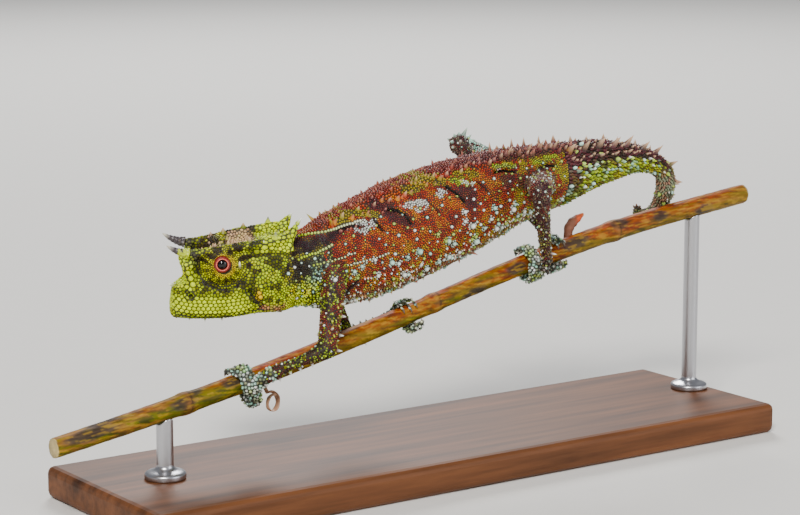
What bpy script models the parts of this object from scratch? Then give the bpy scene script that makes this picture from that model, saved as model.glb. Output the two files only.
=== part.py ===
"""A leaf chameleon on a cut length of stem, life size, on a plain display stand.

All sizes are in millimetres and become metres when a mesh is made.  The head
points along -X, the tail along +X, and the animal's left side faces -Y.  The
origin is the middle of the stand's underside, with +Z up.
"""

import math
import random

import bmesh
import bpy
from mathutils import Vector
from mathutils.bvhtree import BVHTree

MM = 0.001
GAP = 0.3
SINK = 0.35

# The display stand: a flat base, and two rods up to the stem.
BASE_LENGTH = 84.0
BASE_WIDTH = 24.0
BASE_THICKNESS = 3.5
BASE_BEVEL = 0.8
ROD_RADIUS = 0.9
ROD_FOOT_RADIUS = 2.2
ROD_FOOT_HEIGHT = 1.0
ROD_X = {"front": -34.0, "rear": 39.0}

# The stem: its two cut ends, its middle line, and its thickness at each key.
STEM_END_X = 47.0
STEM_LINE = [
    (-50.0, (0.0, 8.15)),
    (-29.0, (0.1, 11.65)),
    (-11.3, (0.0, 15.48)),
    (9.9, (-0.05, 20.68)),
    (24.6, (0.0, 23.75)),
    (38.5, (0.1, 25.7)),
    (50.0, (0.0, 27.1)),
]
STEM_RADIUS = [
    (-50.0, 1.02),
    (-29.0, 1.1),
    (-9.0, 1.12),
    (1.0, 1.02),
    (14.0, 1.1),
    (25.0, 1.16),
    (50.0, 1.12),
]
STEM_JOINTS = (-31.5, 0.5, 26.5)
STEM_JOINT_SWELL = 0.14
STEM_JOINT_LENGTH = 0.9
STEM_STATIONS = 34

# The torso from the shoulders to the hips: top, bottom and half width by X.
TORSO_FRONT = -15.2
TORSO_BACK = 18.5
TORSO_TOP = [
    (-18.0, 28.2),
    (-15.2, 29.0),
    (-9.2, 31.3),
    (-2.5, 33.3),
    (7.0, 34.7),
    (14.5, 35.0),
    (22.0, 35.0),
]
TORSO_BOTTOM = [
    (-18.0, 19.6),
    (-13.0, 19.45),
    (-6.5, 20.1),
    (1.5, 22.25),
    (7.0, 24.2),
    (12.9, 26.5),
    (16.5, 27.3),
    (22.0, 28.9),
]
TORSO_HALF_WIDTH = [
    (-18.0, 2.5),
    (-15.2, 2.7),
    (-9.0, 3.3),
    (-1.0, 3.75),
    (7.0, 3.6),
    (13.0, 3.0),
    (18.5, 2.25),
    (22.0, 2.0),
]
TORSO_POINTS = 22
TORSO_STATIONS = 18
RIDGE_ANGLE = 62.0
RIDGE_HEIGHT = 0.32

# The tail's middle line with its half height and half width at each point.
TAIL_LINE = [
    ((18.8, 0.0, 31.5), (3.4, 2.1)),
    ((22.4, 0.0, 32.2), (2.95, 1.8)),
    ((26.0, 0.0, 32.45), (2.35, 1.5)),
    ((29.4, 0.1, 32.4), (1.7, 1.3)),
    ((32.5, 0.2, 31.7), (1.25, 1.1)),
    ((34.45, 0.3, 30.4), (1.15, 1.1)),
    ((35.05, 0.55, 28.9), (1.2, 1.12)),
    ((35.55, 1.4, 27.6), (1.1, 1.05)),
    ((35.9, 2.4, 26.3), (1.0, 0.98)),
    ((35.3, 2.9, 25.2), (0.88, 0.88)),
    ((33.9, 2.95, 24.85), (0.74, 0.74)),
    ((32.8, 2.8, 25.3), (0.6, 0.6)),
    ((32.3, 2.5, 26.2), (0.42, 0.42)),
]
TAIL_CUTS = (2, 4, 6)
TAIL_NAMES = ("tail_base", "tail_middle", "tail_bend", "tail_tip")
TAIL_POINTS = 14
TAIL_STEPS = 3

# The head in its own frame: forward, left and up from a point between the eyes.
HEAD_ORIGIN = Vector((-24.09, 3.77, 24.45))
HEAD_TURN = math.radians(25.0)
HEAD_ROLL = math.radians(5.0)
HEAD_REAR = -6.9
HEAD_TOP = [
    (-9.5, 3.6),
    (-6.9, 3.5),
    (-4.0, 3.05),
    (-1.0, 2.3),
    (1.1, 1.7),
    (2.6, 0.8),
    (3.6, -0.6),
    (4.3, -1.3),
    (5.1, -1.5),
    (5.75, -1.95),
    (5.95, -2.8),
    (6.08, -3.8),
]
HEAD_BOTTOM = [
    (-9.5, -4.6),
    (-6.6, -4.8),
    (-3.0, -4.85),
    (0.6, -5.25),
    (3.5, -5.3),
    (5.2, -5.3),
    (5.75, -5.25),
    (6.08, -4.85),
]
CREST_UP = [
    (-9.5, 4.0),
    (-6.9, 3.9),
    (-5.1, 3.6),
    (-2.6, 3.15),
    (-0.6, 2.95),
    (1.1, 2.5),
    (3.3, 2.0),
    (4.1, -0.2),
    (4.6, -1.2),
    (5.1, -1.55),
    (5.75, -2.0),
    (5.95, -2.85),
    (6.08, -3.85),
]
CREST_OUT = [
    (-9.5, 2.1),
    (-7.0, 2.7),
    (-4.0, 3.1),
    (-1.0, 3.0),
    (1.6, 2.7),
    (3.3, 2.4),
    (4.6, 1.7),
    (5.1, 1.45),
    (5.75, 1.05),
    (6.08, 0.6),
]
CHEEK_OUT = [
    (-9.5, 2.7),
    (-7.0, 3.5),
    (-4.0, 3.75),
    (-1.0, 3.3),
    (1.6, 2.8),
    (3.4, 2.45),
    (4.8, 2.05),
    (5.75, 1.5),
    (6.08, 0.9),
]
CHEEK_UP = [(-9.5, -0.6), (-4.0, -1.0), (1.6, -2.0), (4.8, -3.0), (6.08, -4.0)]
LIP_OUT = [
    (-9.5, 2.4),
    (-7.0, 3.1),
    (-4.0, 3.2),
    (-1.0, 2.9),
    (1.6, 2.55),
    (3.4, 2.3),
    (4.8, 1.95),
    (5.75, 1.5),
    (6.08, 0.95),
]
MOUTH_UP = [(-9.5, -3.6), (-3.6, -3.9), (-1.5, -4.45), (0.6, -4.75), (4.0, -4.8), (6.08, -4.5)]
MOUTH_CORNER = -3.6
MOUTH_DEPTH = 0.3
HEAD_STATIONS = (-6.9, -5.5, -4.1, -2.7, -1.3, 0.1, 1.4, 2.6, 3.4, 4.0, 4.6, 5.1, 5.5, 5.8, 5.97, 6.08)

# The eye's turret, the rim of its lids, and the eyeball that shows in it.
EYE_PLACE = (0.6, 3.95, 1.1)
TURRET_RADII = (2.45, 2.15, 2.2)
TURRET_CENTRE = (0.6, 1.9, 0.85)
EYE_RADIUS = 0.74
EYE_CENTRE_OUT = 3.45
LID_OUT = 3.82
LID_RIM_RADIUS = 1.12
LID_RIM_THICKNESS = 0.25

# The brow horn: where it leaves the head, its tip, and its radius from root to tip.
HORN_ROOT = (4.2, 2.5, 2.25)
HORN_TIP = (6.55, 2.65, 3.25)
HORN_RADII = (0.56, 0.44, 0.28, 0.06)
HORN_BEND = 0.16
CANTHUS = [
    ((3.9, 2.3, 1.15), 0.55),
    ((4.45, 2.35, 0.95), 0.55),
    ((4.5, 2.2, 0.45), 0.52),
    ((4.25, 2.0, -0.2), 0.5),
    ((3.95, 1.8, -0.9), 0.5),
    ((4.35, 1.55, -1.55), 0.46),
    ((4.95, 1.25, -1.95), 0.4),
]

# The limbs: the joints of each, and the radius at each joint.
ARM_JOINTS = {
    "left": ((-14.1, -2.3, 23.6), (-16.85, -4.8, 16.05), (-23.5, -3.45, 13.8)),
    "right": ((-13.2, 2.3, 22.6), (-8.5, 4.0, 14.8), (-4.3, 3.3, 16.0)),
}
LEG_JOINTS = {
    "left": ((14.3, -1.6, 30.9), (8.95, -8.5, 31.4), (13.6, -3.9, 22.3)),
    "right": ((14.3, 1.6, 30.9), (11.0, 9.5, 34.5), (19.2, 3.9, 24.6)),
}
ARM_RADII = (1.5, 1.05, 1.05, 0.82)
LEG_RADII = (1.8, 1.25, 1.15, 0.66)
LIMB_BEVEL = 3

# The feet along the stem: the middle of the palm, of the digits over the stem and of those under it,
# then the number and radius of the digits over it, and how far those under it hang clear.
GRIPS = {
    "hand_left": (-24.4, -24.75, -23.75, 3, 0.36, 0.8),
    "hand_right": (-3.0, -3.2, -2.7, 3, 0.3, 0.15),
    "foot_left": (13.7, 13.85, 14.2, 2, 0.47, 0.15),
    "foot_right": (18.1, 17.9, 17.3, 2, 0.36, 0.1),
}
PALM_THICKNESS = 0.62
UNDER_RADIUS = 0.45
DIGIT_SPACING = 0.72
OVER_ANGLES = (174.0, 34.0)
UNDER_ANGLES = (196.0, 330.0)
PALM_ANGLE = 185.0
CLAW_LENGTH = 0.55
HEEL_SPINE = 1.1

# The rows of spines: how far apart they stand and how long they are.
BACK_SPINE_X = [-12.6 + 2.75 * i for i in range(8)] + [9.6, 12.6, 16.2]
BACK_SPINE_LENGTH = 0.8
BACK_SPINE_GAIN = 0.065
FLANK_ROWS = ((28, -10.5, 6), (4, -12.0, 8), (-20, -9.5, 6), (-42, -12.2, 8))
TAIL_SPINE_STEP = 2.3
TAIL_SPINE_LENGTH = 1.5

SKIN_GREEN = (0.42, 0.50, 0.02, 1.0)
SKIN_RED = (0.30, 0.07, 0.03, 1.0)
SKIN_TAIL = (0.30, 0.34, 0.05, 1.0)
SKIN_LEG = (0.14, 0.06, 0.05, 1.0)
HORN_GREY = (0.12, 0.09, 0.10, 1.0)
EYE_BLACK = (0.01, 0.01, 0.012, 1.0)
STEM_BROWN = (0.42, 0.20, 0.04, 1.0)
STAND_WOOD = (0.05, 0.03, 0.02, 1.0)
ROD_STEEL = (0.55, 0.55, 0.56, 1.0)

PARTS = "leaf_chameleon"


def clear_scene():
    """Removes every object of the starting scene."""
    for obj in list(bpy.data.objects):
        bpy.data.objects.remove(obj)


def make_material(name, finish):
    """A Principled material from a finish of colour, roughness and metallic."""
    colour, roughness, metallic = finish
    material = bpy.data.materials.new(name)
    material.use_nodes = True
    shader = material.node_tree.nodes["Principled BSDF"]
    shader.inputs["Base Color"].default_value = colour
    shader.inputs["Roughness"].default_value = roughness
    shader.inputs["Metallic"].default_value = metallic
    return material


def smooth_value(keys, x):
    """The value at x on a smooth curve through (x, value) keys."""
    places = [k[0] for k in keys]
    values = [k[1] for k in keys]
    if x <= places[0]:
        return values[0]
    if x >= places[-1]:
        return values[-1]
    i = max(j for j, place in enumerate(places) if place <= x)
    slopes = []
    for j in (i, i + 1):
        low, high = max(j - 1, 0), min(j + 1, len(keys) - 1)
        slopes.append((values[high] - values[low]) / (places[high] - places[low]))
    span = places[i + 1] - places[i]
    t = (x - places[i]) / span
    return (
        values[i] * (2 * t**3 - 3 * t**2 + 1)
        + values[i + 1] * (3 * t**2 - 2 * t**3)
        + span * slopes[0] * (t**3 - 2 * t**2 + t)
        + span * slopes[1] * (t**3 - t**2)
    )


def smooth_point(keys, x):
    """The tuple at x on a smooth curve through (x, tuple) keys."""
    count = len(keys[0][1])
    return [smooth_value([(k, v[n]) for k, v in keys], x) for n in range(count)]


def link(name, mesh):
    """A new object in the scene's own collection."""
    obj = bpy.data.objects.new(name, mesh)
    bpy.context.scene.collection.objects.link(obj)
    return obj


def loft(name, rings):
    """A closed solid through rings of points, with a fan of faces over each end."""
    made = bmesh.new()
    loops = [[made.verts.new(Vector(p) * MM) for p in ring] for ring in rings]
    count = len(rings[0])
    for first, second in zip(loops, loops[1:]):
        for i in range(count):
            j = (i + 1) % count
            made.faces.new((first[i], first[j], second[j], second[i]))
    for loop in (loops[0], loops[-1]):
        middle = made.verts.new(sum((v.co for v in loop), Vector()) / count)
        for i in range(count):
            made.faces.new((loop[i], loop[(i + 1) % count], middle))
    bmesh.ops.recalc_face_normals(made, faces=made.faces)
    mesh = bpy.data.meshes.new(name)
    made.to_mesh(mesh)
    made.free()
    return link(name, mesh)


def carried_frames(points, up):
    """The along, out and rise directions at each point, carried along the path with no twist."""
    points = [Vector(p) for p in points]
    frames = []
    out = None
    for i in range(len(points)):
        along = (points[min(i + 1, len(points) - 1)] - points[max(i - 1, 0)]).normalized()
        if out is None:
            out = along.cross(Vector(up))
        out = (out - along * out.dot(along)).normalized()
        frames.append((along, out, out.cross(along)))
    return frames


def oval(centre, frame, half_up, half_out, sides):
    """An oval ring of points in a carried frame."""
    _, out, rise = frame
    angles = [math.tau * i / sides for i in range(sides)]
    return [Vector(centre) + out * half_out * math.cos(a) + rise * half_up * math.sin(a) for a in angles]


def tube(name, points, radii, bevel=2):
    """A round tube through points, with its own radius at each, made from a bevelled curve."""
    curve = bpy.data.curves.new(name, "CURVE")
    curve.dimensions = "3D"
    curve.bevel_depth = MM
    curve.bevel_resolution = bevel
    curve.use_fill_caps = True
    line = curve.splines.new("POLY")
    line.points.add(len(points) - 1)
    for place, point, radius in zip(line.points, points, radii):
        place.co = (*(Vector(point) * MM), 1.0)
        place.radius = radius
    drawn = link(name + "_curve", curve)
    mesh = evaluated_copy(drawn)
    bpy.data.objects.remove(drawn)
    made = bmesh.new()
    made.from_mesh(mesh)
    bmesh.ops.remove_doubles(made, verts=made.verts, dist=1e-7)
    bmesh.ops.recalc_face_normals(made, faces=made.faces)
    made.to_mesh(mesh)
    made.free()
    return link(name, mesh)


def spine(place, direction, length, radius, sides=4):
    """A pointed cone whose root is sunk below place."""
    direction = Vector(direction).normalized()
    made = bmesh.new()
    bmesh.ops.create_cone(
        made, cap_ends=True, segments=sides, radius1=radius * MM, radius2=0.0, depth=(length + SINK) * MM
    )
    turn = direction.to_track_quat("Z", "Y").to_matrix().to_4x4()
    bmesh.ops.transform(made, matrix=turn, verts=made.verts)
    middle = Vector(place) + direction * (length - SINK) / 2
    bmesh.ops.translate(made, vec=middle * MM, verts=made.verts)
    mesh = bpy.data.meshes.new("spine")
    made.to_mesh(mesh)
    made.free()
    return link("spine", mesh)


def ball(place, radii, segments=12, rings=8):
    """An ellipsoid with its own radius along each axis."""
    made = bmesh.new()
    bmesh.ops.create_uvsphere(made, u_segments=segments, v_segments=rings, radius=1.0)
    bmesh.ops.scale(made, vec=Vector(radii) * MM, verts=made.verts)
    bmesh.ops.translate(made, vec=Vector(place) * MM, verts=made.verts)
    mesh = bpy.data.meshes.new("ball")
    made.to_mesh(mesh)
    made.free()
    return link("ball", mesh)


def evaluated_copy(obj):
    """The object's mesh with its modifiers applied."""
    bpy.context.view_layer.update()
    graph = bpy.context.evaluated_depsgraph_get()
    return bpy.data.meshes.new_from_object(obj.evaluated_get(graph))


def apply_boolean(obj, pieces, operation, solver):
    """One Boolean of obj with a collection of closed pieces, applied."""
    group = bpy.data.collections.new("pieces")
    for piece in pieces:
        group.objects.link(piece)
    modifier = obj.modifiers.new("join", "BOOLEAN")
    modifier.operation = operation
    modifier.operand_type = "COLLECTION"
    modifier.collection = group
    modifier.solver = solver
    mesh = evaluated_copy(obj)
    obj.modifiers.clear()
    obj.data = mesh
    bpy.data.collections.remove(group)
    keep_largest(obj)
    return obj


def keep_largest(obj):
    """Leaves only the closed surface that holds the most."""
    made = bmesh.new()
    made.from_mesh(obj.data)
    left = set(made.verts)
    bodies = []
    while left:
        queue = [left.pop()]
        body = set(queue)
        while queue:
            for edge in queue.pop().link_edges:
                for vert in edge.verts:
                    if vert in left:
                        left.remove(vert)
                        body.add(vert)
                        queue.append(vert)
        bodies.append(body)

    def size(body):
        faces = {f for v in body for f in v.link_faces}
        return abs(
            sum(
                f.verts[0].co.dot(f.verts[i].co.cross(f.verts[i + 1].co))
                for f in faces
                for i in range(1, len(f.verts) - 1)
            )
        )

    bodies.sort(key=size)
    for body in bodies[:-1]:
        bmesh.ops.delete(made, geom=list(body), context="VERTS")
    made.to_mesh(obj.data)
    made.free()


def fuse(obj, pieces, solver="EXACT"):
    """Joins the pieces to obj and removes them."""
    apply_boolean(obj, pieces, "UNION", solver)
    for piece in pieces:
        bpy.data.objects.remove(piece)
    return obj


def carve(obj, cutters, solver="EXACT"):
    """Cuts the cutters out of obj and keeps the cutters."""
    return apply_boolean(obj, cutters, "DIFFERENCE", solver)


def discard(objects):
    """Removes helper objects."""
    for obj in objects:
        bpy.data.objects.remove(obj)


def block(place, direction, reach=30.0):
    """A large block whose near face passes through place, on the side that direction points to."""
    made = bmesh.new()
    bmesh.ops.create_cube(made, size=reach * MM)
    direction = Vector(direction).normalized()
    turn = direction.to_track_quat("Z", "Y").to_matrix().to_4x4()
    bmesh.ops.transform(made, matrix=turn, verts=made.verts)
    bmesh.ops.translate(made, vec=(Vector(place) + direction * reach / 2) * MM, verts=made.verts)
    mesh = bpy.data.meshes.new("block")
    made.to_mesh(mesh)
    made.free()
    return link("block", mesh)


def dress(obj, finish):
    """Gives a finished node its own material and smooth shading, and puts it with the parts."""
    obj.data.materials.clear()
    obj.data.materials.append(make_material(obj.name + "_finish", finish))
    for group in list(obj.users_collection):
        group.objects.unlink(obj)
    bpy.data.collections[PARTS].objects.link(obj)
    obj.parent = bpy.data.objects[PARTS + "_root"]
    obj.data.shade_smooth()
    obj.data.set_sharp_from_angle(angle=math.radians(35.0))
    return obj


class Surface:
    """Finds where a ray from inside a solid leaves it."""

    def __init__(self, obj):
        made = bmesh.new()
        made.from_mesh(obj.data)
        self.tree = BVHTree.FromBMesh(made)
        made.free()

    def leave(self, start, direction):
        """The place where a ray from start leaves the solid, and the normal there."""
        direction = Vector(direction).normalized()
        far = Vector(start) * MM + direction * 0.05
        place, normal, _, _ = self.tree.ray_cast(far, -direction)
        if place is None:
            return None, None
        return place / MM, normal


def stem_centre(x):
    """The stem's middle at x."""
    y, z = smooth_point(STEM_LINE, x)
    return Vector((x, y, z))


def stem_radius(x):
    """The stem's radius at x, swollen at its joints."""
    radius = smooth_value(STEM_RADIUS, x)
    for joint in STEM_JOINTS:
        radius += STEM_JOINT_SWELL * math.exp(-(((x - joint) / STEM_JOINT_LENGTH) ** 2))
    return radius


def stem_direction(x):
    """The stem's direction at x."""
    return (stem_centre(x + 0.5) - stem_centre(x - 0.5)).normalized()


def stem_solid(name, grow, start, end, stations):
    """The stem between two places, grown by grow all round."""
    places = [start + (end - start) * i / stations for i in range(stations + 1)]
    return tube(name, [stem_centre(x) for x in places], [stem_radius(x) + grow for x in places], 4)


def build_perch(finish):
    """The cut stem with a side bud and a dry curled sheath under it."""
    stem = stem_solid("perch_stem", 0.0, -STEM_END_X - 2.0, STEM_END_X + 2.0, STEM_STATIONS)
    bud = [(20.5, 0.9, 23.5), (20.8, 1.15, 24.7), (21.5, 1.3, 25.4), (22.4, 1.4, 25.85), (23.2, 1.5, 26.2)]
    pieces = [tube("bud", bud, (0.5, 0.58, 0.6, 0.45, 0.22), 1)]
    hang = stem_centre(-22.6) + Vector((0.4, -0.5, -0.8))
    centre = hang + Vector((0.62, -0.5, -1.85))
    curl, turns, steps = [hang], 1.12, 18
    for i in range(steps + 1):
        t = i / steps
        angle = math.radians(115.0) - math.tau * turns * t
        wide, tall = 0.85 - 0.18 * t, 1.08 - 0.2 * t
        curl.append(centre + Vector((math.cos(angle) * wide, -0.75 * t, math.sin(angle) * tall)))
    pieces.append(tube("curl", curl, [0.25] * len(curl), 1))
    fuse(stem, pieces)
    ends = [block((side * STEM_END_X, 0, 17), (side, 0, 0), 60.0) for side in (-1, 1)]
    carve(stem, ends)
    discard(ends)
    return dress(stem, finish)


def build_stand(wood, steel):
    """The flat base and the two rods up to the stem."""
    bpy.ops.mesh.primitive_cube_add(size=1.0, location=(0, 0, BASE_THICKNESS / 2 * MM))
    base = bpy.context.object
    base.name = "stand_base"
    size = Vector((BASE_LENGTH, BASE_WIDTH, BASE_THICKNESS)) * MM
    for vert in base.data.vertices:
        vert.co = vert.co * size
    bevel = base.modifiers.new("edges", "BEVEL")
    bevel.width = BASE_BEVEL * MM
    bevel.segments = 3
    dress(base, wood)
    for place, x in ROD_X.items():
        centre = stem_centre(x)
        bottom = BASE_THICKNESS + GAP
        top = centre.z - stem_radius(x) * 0.3
        step = bottom + ROD_FOOT_HEIGHT
        outline = [
            (0.0, top),
            (ROD_RADIUS, top),
            (ROD_RADIUS, step),
            (ROD_FOOT_RADIUS * 0.8, step),
            (ROD_FOOT_RADIUS, step - ROD_FOOT_HEIGHT * 0.4),
            (ROD_FOOT_RADIUS, bottom),
            (0.0, bottom),
        ]
        rod = turned("stand_rod_" + place, outline, (x, centre.y))
        grown = stem_solid("grown", GAP, x - 6.0, x + 6.0, 8)
        carve(rod, [grown])
        discard([grown])
        dress(rod, steel)


def turned(name, outline, place):
    """A solid turned from an outline of (radius, height) points about a vertical line."""
    mesh = bpy.data.meshes.new(name)
    points = [(radius * MM, 0.0, height * MM) for radius, height in outline]
    mesh.from_pydata(points, [(i, i + 1) for i in range(len(points) - 1)], [])
    rod = link(name, mesh)
    screw = rod.modifiers.new("turn", "SCREW")
    screw.steps = 20
    screw.render_steps = 20
    screw.use_merge_vertices = True
    screw.merge_threshold = 1e-6
    solid = evaluated_copy(rod)
    rod.modifiers.clear()
    rod.data = solid
    made = bmesh.new()
    made.from_mesh(solid)
    bmesh.ops.recalc_face_normals(made, faces=made.faces)
    bmesh.ops.translate(made, vec=(place[0] * MM, place[1] * MM, 0), verts=made.verts)
    made.to_mesh(solid)
    made.free()
    return rod


def torso_ring(x, grow=0.0, count=TORSO_POINTS):
    """The torso's outline across X at x: a flat back between two ridges, full flanks, a narrow belly."""
    top = smooth_value(TORSO_TOP, x) + grow
    bottom = smooth_value(TORSO_BOTTOM, x) - grow
    width = smooth_value(TORSO_HALF_WIDTH, x) + grow
    middle, half = (top + bottom) / 2, (top - bottom) / 2
    ring = []
    for i in range(count):
        angle = math.tau * (i + 0.5) / count
        across, rise = math.cos(angle), math.sin(angle)
        narrow = 1.0 - 0.22 * max(rise, 0.0) ** 2 - 0.3 * max(-rise, 0.0) ** 2
        out = width * narrow * math.copysign(abs(across) ** 0.85, across)
        up = half * math.copysign(abs(rise) ** 0.9, rise)
        off_ridge = math.degrees(math.asin(min(1.0, abs(rise)))) - RIDGE_ANGLE
        if rise > 0:
            swell = RIDGE_HEIGHT * math.exp(-((off_ridge / 13.0) ** 2))
            out += math.copysign(swell, across)
            up += 0.6 * swell
        ring.append(Vector((x, out, middle + up)))
    return ring


def torso_solid(name, grow, start, end, stations):
    """The torso between two places, grown by grow all round."""
    places = [start + (end - start) * i / stations for i in range(stations + 1)]
    return loft(name, [torso_ring(x, grow) for x in places])


def torso_axis(x):
    """The middle of the torso at x."""
    return Vector((x, 0, (smooth_value(TORSO_TOP, x) + smooth_value(TORSO_BOTTOM, x)) / 2))


def clear_of_limbs(place):
    """True where no limb's root covers the torso."""
    for joints, radii in ((ARM_JOINTS, ARM_RADII), (LEG_JOINTS, LEG_RADII)):
        for side in joints.values():
            first, second = Vector(side[0]), Vector(side[1])
            along = second - first
            share = min(1.0, max(0.0, (place - first).dot(along) / along.length_squared))
            if (place - first - along * share).length < radii[0] + 1.0:
                return False
    return True


def build_torso(finish, rng):
    """The torso with its paired back spines, granules along the back, flank tubercles and belly fringe."""
    torso = torso_solid("torso", 0.0, TORSO_FRONT, TORSO_BACK, TORSO_STATIONS)
    surface = Surface(torso)
    pieces = []

    def plant(x, angle, length, radius, lean, sides=4):
        across = Vector((0, math.cos(math.radians(angle)), math.sin(math.radians(angle))))
        place, _ = surface.leave(torso_axis(x), across)
        if place is None or not clear_of_limbs(place):
            return
        if TORSO_FRONT + 0.9 < place.x < TORSO_BACK - 0.9:
            pieces.append(spine(place, across + Vector((lean, 0, 0)), length, radius, sides))

    for i, x in enumerate(BACK_SPINE_X):
        length = BACK_SPINE_LENGTH + BACK_SPINE_GAIN * i
        for side in (-1, 1):
            angle = 90 + side * (22 + rng.uniform(-2, 2))
            plant(x + rng.uniform(-0.3, 0.3), angle, length, 0.42, 0.45)
    for side in (-1, 1):
        place, _ = surface.leave(torso_axis(-14.1), Vector((0, side * 0.38, 1)))
        pieces.append(spine(place, (-0.7, side * 0.3, 1.0), 1.1, 0.42))
    for i in range(20):
        plant(-13.8 + 1.62 * i + rng.uniform(-0.3, 0.3), 90 + rng.uniform(-7, 7), 0.35, 0.4, 0.1)
    for side in (-1, 1):
        for row, (angle, first, count) in enumerate(FLANK_ROWS):
            for i in range(count):
                x = first + 3.6 * i + rng.uniform(-0.7, 0.7)
                turned = angle + rng.uniform(-6, 6)
                plant(x, 90 - side * (90 - turned), 0.3 + 0.05 * row, 0.42, 0.15, 5)
        for i in range(16):
            x = -13.4 + 1.9 * i + rng.uniform(-0.3, 0.3)
            plant(x, 270 + side * (14 + rng.uniform(-3, 3)), 0.55, 0.34, 0.1)
    fuse(torso, pieces)
    return dress(torso, finish)


def head_axes():
    """The head's forward, left and up directions."""
    forward = Vector((-math.cos(HEAD_TURN), math.sin(HEAD_TURN), 0.0))
    level_left = Vector((-math.sin(HEAD_TURN), -math.cos(HEAD_TURN), 0.0))
    up = Vector((0, 0, 1))
    left = level_left * math.cos(HEAD_ROLL) - up * math.sin(HEAD_ROLL)
    rise = up * math.cos(HEAD_ROLL) + level_left * math.sin(HEAD_ROLL)
    return forward, left, rise


def head_point(forward, left, up):
    """A place of the head's own frame in the row frame."""
    axes = head_axes()
    return HEAD_ORIGIN + axes[0] * forward + axes[1] * left + axes[2] * up


def head_direction(forward, left, up):
    """A direction of the head's own frame in the row frame."""
    axes = head_axes()
    return (axes[0] * forward + axes[1] * left + axes[2] * up).normalized()


def head_outline(x):
    """The head's half outline at x, from the middle of the crown to the middle of the chin."""
    top, bottom = smooth_value(HEAD_TOP, x), smooth_value(HEAD_BOTTOM, x)
    crest_up, crest_out = smooth_value(CREST_UP, x), smooth_value(CREST_OUT, x)
    cheek_up, cheek_out = smooth_value(CHEEK_UP, x), smooth_value(CHEEK_OUT, x)
    mouth_up, lip_out = smooth_value(MOUTH_UP, x), smooth_value(LIP_OUT, x)
    groove = MOUTH_DEPTH if x > MOUTH_CORNER else 0.0
    lip = 0.16 if x > MOUTH_CORNER else 0.3
    below = mouth_up - bottom
    return [
        (0.0, top),
        (crest_out * 0.55, top + (crest_up - top) * 0.3),
        (crest_out, crest_up),
        (crest_out * 0.4 + cheek_out * 0.6, (crest_up + cheek_up) / 2),
        (cheek_out, cheek_up),
        (lip_out * 0.6 + cheek_out * 0.4, cheek_up + (mouth_up - cheek_up) * 0.6),
        (lip_out, mouth_up + lip),
        (lip_out - groove, mouth_up),
        (lip_out - 0.05, mouth_up - min(lip, below * 0.35)),
        (lip_out * 0.66, bottom + below * 0.2),
        (lip_out * 0.25, bottom),
    ]


def head_ring(x):
    """The head's whole outline at x, in the row frame."""
    half = head_outline(x)
    left = [(out, up) for out, up in half]
    right = [(-out, up) for out, up in reversed(half[1:])]
    return [head_point(x, out, up) for out, up in left + right]


def crest_path(side, places):
    """Points along one side's crest, a little above its edge."""
    return [head_point(x, side * smooth_value(CREST_OUT, x), smooth_value(CREST_UP, x)) for x in places]


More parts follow.
